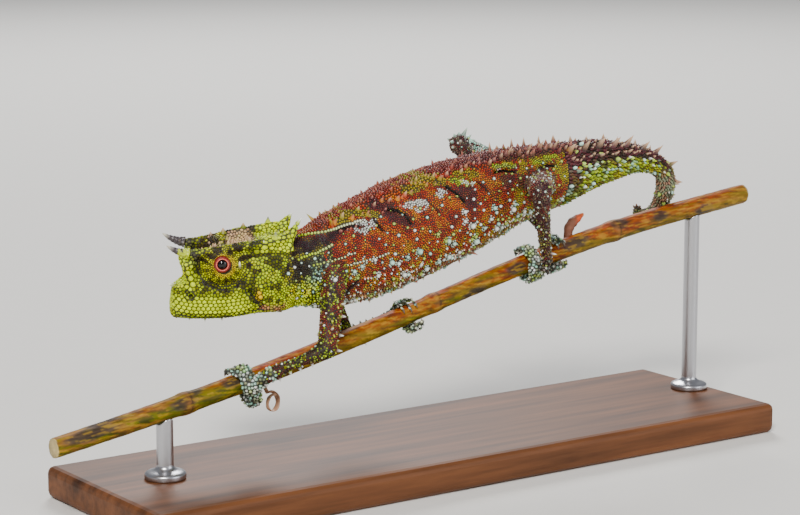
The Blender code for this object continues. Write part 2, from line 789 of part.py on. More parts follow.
def build_head(finish, rng):
    """The head with brow crests, eye turrets, lids, nostrils, the mouth's line and the casque's points."""
    head = loft("head", [head_ring(x) for x in HEAD_STATIONS])
    pieces = []
    for side in (-1, 1):
        forward, out, up = TURRET_CENTRE
        pieces.append(head_ball((forward, side * out, up), TURRET_RADII))
        brow = crest_path(side, (-6.2, -4.6, -2.8, -1.0, 0.8, 2.4))
        brow.append(head_point(3.5, side * 2.5, 2.15))
        brow.append(head_point(HORN_ROOT[0] - 0.1, side * HORN_ROOT[1], HORN_ROOT[2]))
        pieces.append(tube("brow", brow, (0.5, 0.55, 0.55, 0.55, 0.55, 0.55, 0.58, HORN_RADII[0]), 2))
        ridge = [head_point(f, side * o, u) for (f, o, u), _ in CANTHUS]
        pieces.append(tube("canthus", ridge, [radius for _, radius in CANTHUS], 2))
    fuse(head, pieces)

    surface = Surface(head)
    spines = []

    def plant(start, aim, length, radius, lean=Vector(), sides=5):
        direction = head_direction(*aim)
        place, _ = surface.leave(head_point(*start), direction)
        if place is not None:
            spines.append(spine(place, direction + lean, length, radius, sides))

    for side in (-1, 1):
        rim_centre = head_point(EYE_PLACE[0], side * LID_OUT, EYE_PLACE[2])
        facing = head_direction(0.05, side, 0.08)
        spines.append(ring("lid", rim_centre, facing, LID_RIM_RADIUS, LID_RIM_THICKNESS))
        rear = head_direction(-1.1, side * 0.1, 1.75)
        spines.append(spine(head_point(-6.55, side * 2.35, 3.95), rear, 2.0 if side > 0 else 0.9, 0.6, 5))
        plant((-4.6, side * 2.0, 1.0), (-0.1, side * 0.4, 1.0), 0.7, 0.42)
        plant((-2.2, side * 1.9, 1.0), (0.0, side * 0.45, 1.0), 0.45, 0.38)
        plant((-0.2, side * 1.8, 1.0), (0.1, side * 0.4, 1.0), 0.55, 0.36)
        plant((1.4, side * 1.6, 1.0), (0.0, side * 0.4, 1.0), 0.5, 0.36)
        plant((-6.0, side * 1.0, 0.4), (0.0, side, 0.1), 0.6, 0.45)
        plant((-5.2, side * 1.0, -2.0), (-0.2, side, -0.3), 0.45, 0.4)
        for i in range(4):
            plant((2.4 - 1.85 * i, side * 0.8, -3.6), (0.0, side * 0.12, -1.0), 0.6 - 0.04 * i, 0.26)
        for i in range(5):
            where = (-6.0 + 1.25 * i, side * 1.6, 1.2 + 0.12 * i)
            plant(where, (0, side * 1.0, 0.5 + rng.uniform(-0.1, 0.1)), 0.16, 0.5, sides=6)
    plant((4.9, 0, -1.95), (1.0, 0, 0.12), 0.75, 0.34)
    plant((-5.8, 0, 1.0), (-0.2, 0, 1.0), 0.5, 0.4)
    fuse(head, spines, "MANIFOLD")

    cutters = []
    for side in (-1, 1):
        eye = head_point(EYE_PLACE[0], side * EYE_CENTRE_OUT, EYE_PLACE[2])
        cutters.append(ball(eye, (EYE_RADIUS + GAP,) * 3, 16, 10))
        nostril = head_point(4.05, side * 2.0, -2.45)
        inward = head_direction(-0.5, -side, -0.1)
        cutters.append(tube("nostril", (nostril - inward * 0.7, nostril + inward * 0.35), (0.3, 0.26), 2))
        horn = horn_points(side)
        radii = [radius + GAP for radius in HORN_RADII]
        cutters.append(tube("horn_seat", horn, radii, 3))
    carve(head, cutters)
    discard(cutters)
    return dress(head, finish)


def head_ball(place, radii):
    """An ellipsoid in the head's own frame, with its radius forward, left and up."""
    made = bmesh.new()
    bmesh.ops.create_uvsphere(made, u_segments=18, v_segments=12, radius=1.0)
    for vert in made.verts:
        local = [where + size * share for where, size, share in zip(place, radii, vert.co)]
        vert.co = head_point(*local) * MM
    bmesh.ops.recalc_face_normals(made, faces=made.faces)
    mesh = bpy.data.meshes.new("head_ball")
    made.to_mesh(mesh)
    made.free()
    return link("head_ball", mesh)


def ring(name, centre, axis, radius, thickness):
    """A torus about an axis."""
    turn = Vector(axis).to_track_quat("Z", "Y").to_euler()
    bpy.ops.mesh.primitive_torus_add(
        major_radius=radius * MM,
        minor_radius=thickness * MM,
        major_segments=14,
        minor_segments=6,
        location=Vector(centre) * MM,
        rotation=turn,
    )
    made = bpy.context.object
    made.name = name
    mesh = evaluated_copy(made)
    mesh.transform(made.matrix_world)
    bpy.data.objects.remove(made)
    return link(name, mesh)


def horn_points(side):
    """Points from the root to the tip of one brow horn, a little hollow along its top."""
    root = head_point(HORN_ROOT[0], side * HORN_ROOT[1], HORN_ROOT[2])
    tip = head_point(HORN_TIP[0], side * HORN_TIP[1], HORN_TIP[2])
    bend = head_direction(0, 0, -1) * HORN_BEND
    return [root.lerp(tip, t) + bend * math.sin(math.pi * t) for t in (0.0, 0.36, 0.7, 0.97)]


def build_horns(finish):
    """The two brow horns, each a bent cone that starts at its seat on the brow."""
    for name, side in (("horn_left", 1), ("horn_right", -1)):
        points = horn_points(side)
        points[0] += (points[1] - points[0]).normalized() * GAP
        dress(tube(name, points, HORN_RADII, 3), finish)


def build_eyes(finish):
    """The two eyeballs, each showing in its lids."""
    for name, side in (("eye_left", 1), ("eye_right", -1)):
        centre = head_point(EYE_PLACE[0], side * EYE_CENTRE_OUT, EYE_PLACE[2])
        eye = ball(centre, (EYE_RADIUS,) * 3, 14, 10)
        eye.name = name
        dress(eye, finish)


def neck_rings():
    """The neck from the torso's front to the back of the head."""
    torso_front = torso_ring(TORSO_FRONT - GAP, count=TORSO_POINTS)
    head_back = head_neck_ring()
    rings = []
    steps = 4
    for i in range(steps + 1):
        t = i / steps
        waist = 0.28 * math.sin(math.pi * t)
        ring = [a.lerp(b, t) for a, b in zip(torso_front, head_back)]
        middle = sum(ring, Vector()) / len(ring)
        rings.append([p + (middle - p).normalized() * waist for p in ring])
    return rings


def head_neck_ring():
    """The ring of the neck at the back of the head, matched point for point with the torso's front."""
    x = HEAD_REAR - GAP
    half = head_outline(HEAD_REAR)
    ring = []
    for i in range(TORSO_POINTS):
        angle = math.tau * (i + 0.5) / TORSO_POINTS
        across, rise = math.cos(angle), math.sin(angle)
        top, bottom = half[0][1] + 0.1, half[-1][1]
        wide = max(out for out, _ in half) - 0.1
        up = (top + bottom) / 2 + (top - bottom) / 2 * rise
        ring.append(head_point(x, -wide * across * (1 - 0.2 * max(-rise, 0)), up))
    return ring


def build_neck(finish, rng):
    """The short neck with a nape spine and granules."""
    neck = loft("neck", neck_rings())
    surface = Surface(neck)
    middle = (torso_axis(TORSO_FRONT) + head_point(HEAD_REAR, 0, -0.8)) / 2
    pieces = []
    for angle, length in ((66, 0.9), (114, 0.9), (200, 0.35), (-20, 0.35), (225, 0.35), (-45, 0.35)):
        turned = math.radians(angle + rng.uniform(-2, 2))
        aim = Vector((0.1, math.cos(turned), math.sin(turned)))
        place, _ = surface.leave(middle, aim)
        if place is not None:
            pieces.append(spine(place, aim + Vector((0.25, 0, 0)), length, 0.36, 4))
    fuse(neck, pieces)
    return dress(neck, finish)


def tail_samples():
    """The tail's middle points, half heights and half widths, close together."""
    keys = [(float(i), (*point, *halves)) for i, (point, halves) in enumerate(TAIL_LINE)]
    count = (len(TAIL_LINE) - 1) * TAIL_STEPS
    return [smooth_point(keys, i / TAIL_STEPS) for i in range(count + 1)]


def build_tail(finish, rng):
    """The tail in four lengths, with rows of paired spines down to the bend."""
    samples = tail_samples()
    points = [Vector(sample[:3]) for sample in samples]
    frames = carried_frames(points, (0, 0, 1))
    cuts = [0, *(c * TAIL_STEPS for c in TAIL_CUTS), len(samples) - 1]
    whole = [oval(p, f, s[3], s[4], TAIL_POINTS) for p, f, s in zip(points, frames, samples)]
    whole[0] = [Vector((points[0].x, p.y, p.z)) for p in whole[0]]
    spines_at = []
    travelled, wanted = 0.0, 0.6
    for i in range(1, len(samples)):
        travelled += (points[i] - points[i - 1]).length
        if travelled >= wanted:
            spines_at.append(i)
            wanted += TAIL_SPINE_STEP
    for name, first, last in zip(TAIL_NAMES, cuts, cuts[1:]):
        rings = [list(ring) for ring in whole[first : last + 1]]
        if last != cuts[-1]:
            rings[-1] = [p - frames[last][0] * GAP for p in rings[-1]]
        node = loft(name, rings)
        surface = Surface(node)
        pieces = []
        for i in spines_at:
            if not first < i < last:
                continue
            size = samples[i][3]
            length = TAIL_SPINE_LENGTH * min(1.0, size / 1.3) ** 2
            forward, _, back = frames[i]
            for angle, share in ((26, 1.0), (72, 0.6), (128, 0.5)):
                for side in (-1, 1):
                    turned = math.radians(90 - angle + rng.uniform(-4, 4))
                    aim = Vector((0, side, 0)) * math.cos(turned) + back * math.sin(turned)
                    place, _ = surface.leave(points[i], aim)
                    if place is None or length * share < 0.4:
                        continue
                    root = min(0.5, 0.2 + 0.16 * size)
                    pieces.append(spine(place, aim + forward * 0.45, length * share, root, 4))
        if pieces:
            fuse(node, pieces)
        dress(node, finish)


def limb_segment(name, joints, radii, waist):
    """One tapered, slightly waisted length of a limb between two joints."""
    first, second = Vector(joints[0]), Vector(joints[1])
    shares = (0.0, 0.25, 0.5, 0.75, 1.0)
    points = [first.lerp(second, t) for t in shares]
    sizes = [radii[0] + (radii[1] - radii[0]) * t - waist * math.sin(math.pi * t) for t in shares]
    return tube(name, points, sizes, LIMB_BEVEL)


def limb_spines(obj, joints, rng, count, length):
    """Small spines in rings round a limb's length."""
    surface = Surface(obj)
    first, second = Vector(joints[0]), Vector(joints[1])
    along = (second - first).normalized()
    side = along.cross(Vector((0, 0, 1)))
    side = side.normalized() if side.length > 0.1 else Vector((1, 0, 0))
    other = along.cross(side)
    pieces = []
    for i in range(count):
        t = 0.3 + 0.58 * i / max(1, count - 1)
        angle = math.radians(137.5 * i + rng.uniform(-15, 15))
        aim = side * math.cos(angle) + other * math.sin(angle)
        place, _ = surface.leave(first.lerp(second, t), aim)
        if place is not None:
            pieces.append(spine(place, aim - along * 0.2, length, 0.27, 4))
    return pieces


def elbow_cut(joints):
    """The plane through a limb's middle joint that parts its two lengths."""
    upper = (Vector(joints[1]) - Vector(joints[0])).normalized()
    lower = (Vector(joints[2]) - Vector(joints[1])).normalized()
    return Vector(joints[1]), (upper + lower).normalized()


def build_limb(names, joints, radii, roots, finish, rng):
    """The upper and lower lengths of one limb, parted at the joint between them."""
    place, across = elbow_cut(joints)
    upper_way = (Vector(joints[1]) - Vector(joints[0])).normalized()
    lower_way = (Vector(joints[2]) - Vector(joints[1])).normalized()
    beyond = place + upper_way * radii[2] * 1.1
    before = place - lower_way * radii[2] * 1.1
    upper = limb_segment(names[0], (joints[0], beyond), (radii[0], radii[1]), 0.05)
    lower = limb_segment(names[1], (before, joints[2]), (radii[2], radii[3]), 0.1)
    knobs = [ball(place, (radii[2] * 1.02,) * 3, 10, 8) for _ in range(2)]
    root = ball(joints[0], (radii[0] * 1.02,) * 3, 10, 8)
    fuse(upper, [knobs[0], root, *limb_spines(upper, (joints[0], place), rng, 7, 0.45)])
    fuse(lower, [knobs[1], *limb_spines(lower, (place, joints[2]), rng, 8, 0.45)])
    far = block(place - across * GAP / 2, across)
    near = block(place + across * GAP / 2, -across)
    wrist = block(Vector(joints[2]) - lower_way * GAP / 2, lower_way, 12.0)
    carve(upper, [far, *roots])
    carve(lower, [near, wrist])
    discard([far, near, wrist])
    dress(upper, finish)
    dress(lower, finish)


def grip_point(x, angle, radius, side):
    """A place round the stem: angle 180 is the outer side of the limb, 90 the top of the stem."""
    centre = stem_centre(x)
    along = stem_direction(x)
    up = Vector((0, 1, 0)).cross(along)
    up = up if up.z > 0 else -up
    turned = math.radians(angle)
    return centre + Vector((0, -side * math.cos(turned), 0)) * radius + up * math.sin(turned) * radius


def build_foot(name, side, wrist, arrives, finish):
    """A foot that clasps the stem: a palm on the outer side and two bundles of digits, over and under."""
    x, over_x, under_x, over_count, over_radius, hang = GRIPS[name]
    palm_place = grip_point(x, PALM_ANGLE, stem_radius(x) + GAP + PALM_THICKNESS, side)
    wrist = Vector(wrist)
    way = Vector(arrives).normalized()
    start = wrist + way * GAP / 2
    middle = start.lerp(palm_place, 0.5) + Vector((0, side, 0)) * 0.2
    path = [start, start + (middle - start) * 0.6, palm_place + (middle - palm_place) * 0.35, palm_place]
    root_radius = (LEG_RADII if name.startswith("foot") else ARM_RADII)[3]
    foot = tube(name, path, (root_radius, root_radius, 0.72, PALM_THICKNESS), LIMB_BEVEL)
    pieces = [ball(palm_place, (1.2, PALM_THICKNESS, 1.0), 12, 8)]
    over = (OVER_ANGLES, over_x, over_count, over_radius, 0.0)
    under = (UNDER_ANGLES, under_x, 5 - over_count, UNDER_RADIUS, hang)
    for angles, bundle_x, count, thickness, clear in (over, under):
        for i in range(count):
            spread = (i - (count - 1) / 2) * DIGIT_SPACING
            points, radii = [], []
            steps = 7
            for k in range(steps + 1):
                t = k / steps
                angle = angles[0] + (angles[1] - angles[0]) * t * (1.0 - 0.1 * abs(spread))
                along = x + (bundle_x - x) * min(1.0, 0.3 + t) + spread * (0.85 + 0.35 * t)
                reach = stem_radius(along) + GAP + thickness + clear * math.sin(math.pi * t)
                points.append(grip_point(along, angle, reach, side))
                radii.append(thickness * (1.0 - 0.2 * t))
            pieces.append(tube("digit", points, radii, 1))
            tip_way = (points[-1] - points[-2]).normalized()
            pieces.append(spine(points[-1], tip_way, CLAW_LENGTH, 0.2, 4))
    if name.startswith("foot"):
        pieces.append(spine(path[1], Vector((0.15, side * 0.25, -1.0)), root_radius + HEEL_SPINE, 0.5, 5))
    fuse(foot, pieces)
    grown = stem_solid("grown", GAP * 0.9, x - 5.0, x + 5.0, 16)
    cutter = block(wrist + way * GAP / 2, -way, 12.0)
    carve(foot, [cutter, grown])
    discard([cutter, grown])
    dress(foot, finish)


def build_limbs(finish, rng):
    """All four limbs with their feet."""
    torso_grown = torso_solid("torso_grown", GAP, TORSO_FRONT, TORSO_BACK + 4.0, TORSO_STATIONS)
    neck_grown = loft("neck_grown", grown_neck_rings())
    roots = [torso_grown, neck_grown]
    for side_name, side in (("left", -1), ("right", 1)):
        arm, leg = ARM_JOINTS[side_name], LEG_JOINTS[side_name]
        build_limb(("upper_arm_" + side_name, "forearm_" + side_name), arm, ARM_RADII, roots, finish, rng)
        build_limb(("thigh_" + side_name, "shank_" + side_name), leg, LEG_RADII, roots, finish, rng)
        build_foot("hand_" + side_name, side, arm[2], Vector(arm[2]) - Vector(arm[1]), finish)
        build_foot("foot_" + side_name, side, leg[2], Vector(leg[2]) - Vector(leg[1]), finish)
    discard(roots)


def grown_neck_rings():
    """The neck's rings grown by the gap, for cutting the arms clear of it."""
    rings = []
    for ring in neck_rings():
        middle = sum(ring, Vector()) / len(ring)
        rings.append([p + (p - middle).normalized() * GAP for p in ring])
    first = [p + Vector((GAP * 1.5, 0, 0)) for p in rings[0]]
    return [first, *rings]


def main():
    """Builds every node of the model."""
    clear_scene()
    group = bpy.data.collections.new(PARTS)
    bpy.context.scene.collection.children.link(group)
    group.objects.link(bpy.data.objects.new(PARTS + "_root", None))
    rng = random.Random(7)
    build_stand((STAND_WOOD, 0.4, 0.0), (ROD_STEEL, 0.3, 1.0))
    build_perch((STEM_BROWN, 0.7, 0.0))
    build_torso((SKIN_RED, 0.6, 0.0), rng)
    build_neck((SKIN_RED, 0.6, 0.0), rng)
    build_head((SKIN_GREEN, 0.6, 0.0), rng)
    build_horns((HORN_GREY, 0.45, 0.0))
    build_eyes((EYE_BLACK, 0.08, 0.0))
    build_tail((SKIN_TAIL, 0.6, 0.0), rng)
    build_limbs((SKIN_LEG, 0.6, 0.0), rng)


main()
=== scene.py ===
"""Dresses the solids of a leaf chameleon on a cut stem with skin, scales, spines, eyes and bark.

Forms are worked out in millimetres in the frame of the solids and become metres when a
mesh is finished.  The head points along -X and the animal's left side faces -Y.
"""

import logging
import math
from dataclasses import dataclass, field
from enum import Enum, IntEnum
from typing import Sequence

import bmesh
import bpy
import numpy as np
from mathutils import Matrix, Vector, noise
from mathutils.bvhtree import BVHTree
from mathutils.kdtree import KDTree


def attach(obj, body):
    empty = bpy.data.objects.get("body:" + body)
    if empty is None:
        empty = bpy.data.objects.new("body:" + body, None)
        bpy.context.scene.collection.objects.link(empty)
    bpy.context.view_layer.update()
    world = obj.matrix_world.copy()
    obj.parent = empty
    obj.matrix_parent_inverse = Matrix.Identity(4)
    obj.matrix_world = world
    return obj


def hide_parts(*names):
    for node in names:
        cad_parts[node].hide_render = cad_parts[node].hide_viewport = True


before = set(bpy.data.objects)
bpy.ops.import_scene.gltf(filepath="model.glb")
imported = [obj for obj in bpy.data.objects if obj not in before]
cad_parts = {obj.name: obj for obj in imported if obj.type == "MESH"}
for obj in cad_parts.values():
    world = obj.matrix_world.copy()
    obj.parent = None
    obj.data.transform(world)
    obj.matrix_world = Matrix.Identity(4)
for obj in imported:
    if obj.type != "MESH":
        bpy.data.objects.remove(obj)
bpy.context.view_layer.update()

MM = 0.001
BODY = "root"
SEED = 11
TINT = "tint"
BAKE_REACH = 0.7
BAKE_SIZE = 0.0021
ACROSS_REACH = 9.0
Array = np.ndarray
log = logging.getLogger("leaf_chameleon")


class Region(IntEnum):
    """The stretches of the animal that have scales and colours of their own."""

    HEAD = 0
    NECK = 1
    TORSO = 2
    TAIL = 3
    ARM_LEFT = 4
    ARM_RIGHT = 5
    LEG_LEFT = 6
    LEG_RIGHT = 7
    HAND_LEFT = 8
    HAND_RIGHT = 9
    FOOT_LEFT = 10
    FOOT_RIGHT = 11


class Side(Enum):
    """A side of the animal, with its sign across the head's own frame."""

    LEFT = 1
    RIGHT = -1

    @property
    def label(self) -> str:
        """The side's word in the nodes' names."""
        return self.name.lower()


TRUNK = (Region.NECK, Region.TORSO)
LIMBS = (Region.ARM_LEFT, Region.ARM_RIGHT, Region.LEG_LEFT, Region.LEG_RIGHT)
ARMS, LEGS = LIMBS[:2], LIMBS[2:]


def linear(colour: Sequence[float]) -> Array:
    """A colour of 0 to 255 as linear light."""
    c = np.asarray(colour, float) / 255.0
    return np.where(c <= 0.04045, c / 12.92, ((c + 0.055) / 1.055) ** 2.4)


def unit(vectors: Array) -> Array:
    """Vectors scaled to a length of one."""
    return vectors / np.maximum(np.linalg.norm(vectors, axis=-1, keepdims=True), 1e-9)


def ramp(value: Array, low: float, high: float) -> Array:
    """0 below low, 1 above high and a smooth step between."""
    t = np.clip((np.asarray(value, float) - low) / (high - low), 0.0, 1.0)
    return t * t * (3.0 - 2.0 * t)


def fall(value: Array, low: float, high: float) -> Array:
    """1 below low, 0 above high and a smooth step between."""
    return 1.0 - ramp(value, low, high)


def bell(value: Array, centre: float, width: float) -> Array:
    """1 at the centre, and less on both sides of it."""
    return np.exp(-(((value - centre) / width) ** 2))


def spot(points: Array, centre: Sequence[float], radius: Sequence[float]) -> Array:
    """A soft patch, 1 at its centre, in as many directions as centre has."""
    off = (points - np.asarray(centre, float)) / np.asarray(radius, float)
    return np.exp(-((off**2).sum(axis=-1) ** 1.5))


def blend(first: Array, second: Array, share: Array) -> Array:
    """Colours between two, by a share for each point."""
    share = np.clip(np.asarray(share), 0.0, 1.0)[..., None]
    return first * (1.0 - share) + second * share


def cloud(points: Array, scale: float, shift: float = 0.0) -> Array:
    """Smooth noise from -1 to 1 at each point, with lumps about 1 / scale mm across."""
    moved = points * scale + shift
    return np.array([noise.noise(p) for p in moved.tolist()])


def near_path(points: Array, path: Array) -> Array:
    """Each point's distance to an open line through path."""
    best = np.full(len(points), 1e9)
    for start, end in zip(path, path[1:]):
        along = end - start
        t = np.clip(((points - start) @ along) / max(along @ along, 1e-9), 0.0, 1.0)
        best = np.minimum(best, np.linalg.norm(points - start - t[:, None] * along, axis=1))
    return best


def furrow(points: Array, path: Sequence, width: float) -> Array:
    """1 on a line through path, and less beside it."""
    return bell(near_path(points, np.array(path, float)), 0.0, width)


def turns(count: int) -> Array:
    """Angles all the way round, in even steps."""
    return np.arange(count) * math.tau / count


def wheel(across: Array, rise: Array, angles: Array) -> Array:
    """Directions at each angle between across and rise, for one pair of them or for many."""
    return across[..., None, :] * np.cos(angles)[:, None] + rise[..., None, :] * np.sin(angles)[:, None]


def travelled(line: Array) -> Array:
    """How far along a line each of its points lies."""
    return np.concatenate([[0], np.cumsum(np.linalg.norm(np.diff(line, axis=0), axis=1))])


def nearest(points: Array, line: Array) -> Array:
    """The number of the line's point nearest to each of the points."""
    return np.linalg.norm(points[:, None] - line[None], axis=2).argmin(axis=1)


def tree_of(places: Array) -> KDTree:
    """A search tree of places."""
    tree = KDTree(len(places))
    for i, place in enumerate(places.tolist()):
        tree.insert(place, i)
    tree.balance()
    return tree


@dataclass(frozen=True)
class Track:
    """A smooth curve of values, or of tuples of values, through keys of (place, value)."""

    keys: tuple

    def at(self, place: float | Array) -> Array:
        """The value at one place, or at each of several."""
        places = np.array([key[0] for key in self.keys], float)
        values = np.array([key[1] for key in self.keys], float)
        count = len(places)
        x = np.clip(np.asarray(place, float), places[0], places[-1])
        i = np.clip(np.searchsorted(places, x, side="right") - 1, 0, count - 2)
        low = np.maximum(np.arange(count) - 1, 0)
        high = np.minimum(np.arange(count) + 1, count - 1)
        reach = places[high] - places[low]
        slope = (values[high] - values[low]) / (reach if values.ndim == 1 else reach[:, None])
        span = places[i + 1] - places[i]
        t = (x - places[i]) / span
        if values.ndim > 1:
            t, span = t[..., None], span[..., None]
        return (
            values[i] * (2 * t**3 - 3 * t**2 + 1)
            + values[i + 1] * (3 * t**2 - 2 * t**3)
            + span * slope[i] * (t**3 - 2 * t**2 + t)
            + span * slope[i + 1] * (t**3 - t**2)
        )


# Mesh helpers
def loft(rings: Sequence[Array]) -> bpy.types.Mesh:
    """A closed skin bridged through rings of points, with both ends filled.

    Args:
        rings: closed rings, each with the same count of points.

    Returns:
        A mesh in the units of the points.
    """
    made = bmesh.new()
    loops = []
    for ring in rings:
        verts = [made.verts.new(point) for point in ring]
        loops.append([made.edges.new(pair) for pair in zip(verts, verts[1:] + verts[:1])])
    for first, second in zip(loops, loops[1:]):
        bmesh.ops.bridge_loops(made, edges=first + second)
    for edges in (loops[0], loops[-1]):
        bmesh.ops.edgeloop_fill(made, edges=edges)
    bmesh.ops.recalc_face_normals(made, faces=made.faces)
    return finished(made, "loft")


def finished(made: bmesh.types.BMesh, name: str) -> bpy.types.Mesh:
    """Writes a bmesh to a new mesh and frees it."""
    mesh = bpy.data.meshes.new(name)
    made.to_mesh(mesh)
    made.free()
    return mesh


def carried_frames(points: Array, up: Sequence[float]) -> list[tuple[Array, Array, Array]]:
    """The along, out and rise directions at each point, carried along the path without a twist."""
    frames = []
    out = None
    for i in range(len(points)):
        along = unit(points[min(i + 1, len(points) - 1)] - points[max(i - 1, 0)])
        out = np.cross(along, up) if out is None else out
        out = unit(out - along * (out @ along))
        frames.append((along, out, np.cross(out, along)))
    return frames


def oval_rings(points: Array, tall: Array, wide: Array, sides: int, up: Sequence[float]) -> list[Array]:
    """Oval rings across a path, one at each point."""
    angles = np.arange(sides) * math.tau / sides
    across, rise = np.cos(angles)[:, None], np.sin(angles)[:, None]
    rings = []
    for point, (_, out, high), half_up, half_out in zip(points, carried_frames(points, up), tall, wide):
        rings.append(point + out * across * half_out + high * rise * half_up)
    return rings


def tube(points: Sequence, radii: Sequence[float], sides: int = 16) -> bpy.types.Mesh:
    """A round tube with domed ends through points, with its own radius at each."""
    points, radii = np.asarray(points, float), np.asarray(radii, float)
    ends = []
    for place, inner, radius in ((points[0], points[1], radii[0]), (points[-1], points[-2], radii[-1])):
        ends.append(place + unit(place - inner) * radius * 0.45)
    points = np.concatenate([[ends[0]], points, [ends[1]]])
    radii = np.concatenate([[radii[0] * 0.55], radii, [radii[-1] * 0.55]])
    return loft(oval_rings(points, radii, radii, sides, (0.13, 0.31, 1.0)))


def ball(centre: Sequence[float], axes: Array) -> bpy.types.Mesh:
    """An ellipsoid about centre; axes holds its three half axes as rows."""
    made = bmesh.new()
    turn = Matrix(
        [[*column, where] for column, where in zip(np.asarray(axes).T.tolist(), centre)] + [[0, 0, 0, 1]]
    )
    bmesh.ops.create_uvsphere(made, u_segments=28, v_segments=18, radius=1.0, matrix=turn)
    bmesh.ops.recalc_face_normals(made, faces=made.faces)
    return finished(made, "ball")


def link(name: str, mesh: bpy.types.ID) -> bpy.types.Object:
    """A new object in the scene."""
    obj = bpy.data.objects.new(name, mesh)
    bpy.context.scene.collection.objects.link(obj)
    return obj


def evaluated_mesh(obj: bpy.types.Object) -> bpy.types.Mesh:
    """The object's mesh with its modifiers applied."""
    bpy.context.view_layer.update()
    graph = bpy.context.evaluated_depsgraph_get()
    return bpy.data.meshes.new_from_object(obj.evaluated_get(graph))


def coordinates(mesh: bpy.types.Mesh) -> Array:
    """The mesh's vertex places."""
    places = np.empty(len(mesh.vertices) * 3, np.float32)
    mesh.vertices.foreach_get("co", places)
    return places.reshape(-1, 3).astype(float)


def set_coordinates(mesh: bpy.types.Mesh, places: Array) -> None:
    """Moves the mesh's vertices to places."""
    mesh.vertices.foreach_set("co", places.astype(np.float32).ravel())


def in_metres(mesh: bpy.types.Mesh) -> bpy.types.Mesh:
    """A mesh of millimetres scaled to metres and shaded smooth."""
    mesh.transform(Matrix.Scale(MM, 4))
    mesh.shade_smooth()
    return mesh


def set_tint(mesh: bpy.types.Mesh, colours: Array) -> None:
    """Stores a linear colour for each vertex."""
    layer = mesh.color_attributes.new(TINT, "FLOAT_COLOR", "POINT")
    values = np.ones((len(colours), 4), np.float32)
    values[:, :3] = np.clip(colours, 0.0, 1.0)
    layer.data.foreach_set("color", values.ravel())


def capped_faces(sides: int, layers: int, copies: int) -> Array:
    """The faces of many cones alike, each of rings of points and a tip.

    Args:
        sides: the count of points in a ring.
        layers: the count of rings in a cone.
        copies: the count of cones.

    Returns:
        Rows of four vertex numbers, the last -1 in a triangle.
    """
    ring = np.arange(sides)
    after = (ring + 1) % sides
    each = sides * layers + 1
    faces = []
    for low in range(0, sides * (layers - 1), sides):
        high = low + sides
        faces.append(np.column_stack([low + ring, low + after, high + after, high + ring]))
    top = sides * (layers - 1)
    faces.append(np.column_stack([top + ring, top + after, np.full(sides, each - 1), np.full(sides, -1)]))
    faces = np.concatenate(faces)
    starts = (np.arange(copies) * each)[:, None, None]
    return np.where(faces[None] >= 0, faces[None] + starts, -1).reshape(-1, 4)


def cone_mesh(
    name: str, points: Array, sides: int, tints: Array, roots: Array, off: Array
) -> bpy.types.Mesh:
    """A mesh of many small cones, from arrays with a row for each cone.

    Args:
        name: the mesh's name.
        points: each cone's vertex places in mm, ring by ring and then its tip.
        sides: the count of points in a ring.
        tints: a linear colour for each vertex.
        roots: each cone's place in the unit square.
        off: each vertex's place about its cone's root, in two directions, as a share of its size.

    Returns:
        The mesh in metres, smooth shaded.
    """
    faces = capped_faces(sides, points.shape[1] // sides, len(points))
    bake_places = (roots[:, None] + np.clip(off, -BAKE_REACH, BAKE_REACH) * BAKE_SIZE).reshape(-1, 2)
    points, tints = points.reshape(-1, 3), tints.reshape(-1, 3)
    quads = faces[:, 3] >= 0
    sizes = np.where(quads, 4, 3)
    loops = faces[np.arange(4) < sizes[:, None]]
    mesh = bpy.data.meshes.new(name)
    mesh.vertices.add(len(points))
    set_coordinates(mesh, points * MM)
    mesh.loops.add(len(loops))
    mesh.loops.foreach_set("vertex_index", loops.astype(np.int32))
    mesh.polygons.add(len(faces))
    starts = np.concatenate([[0], np.cumsum(sizes)[:-1]])
    mesh.polygons.foreach_set("loop_start", starts.astype(np.int32))
    mesh.update(calc_edges=True)
    mesh.validate()
    mesh.shade_smooth()
    set_tint(mesh, tints)
    layer = mesh.uv_layers.new(name="OFBake")
    layer.data.foreach_set("uv", np.clip(bake_places[loops], 0.0, 1.0).astype(np.float32).ravel())
    return mesh


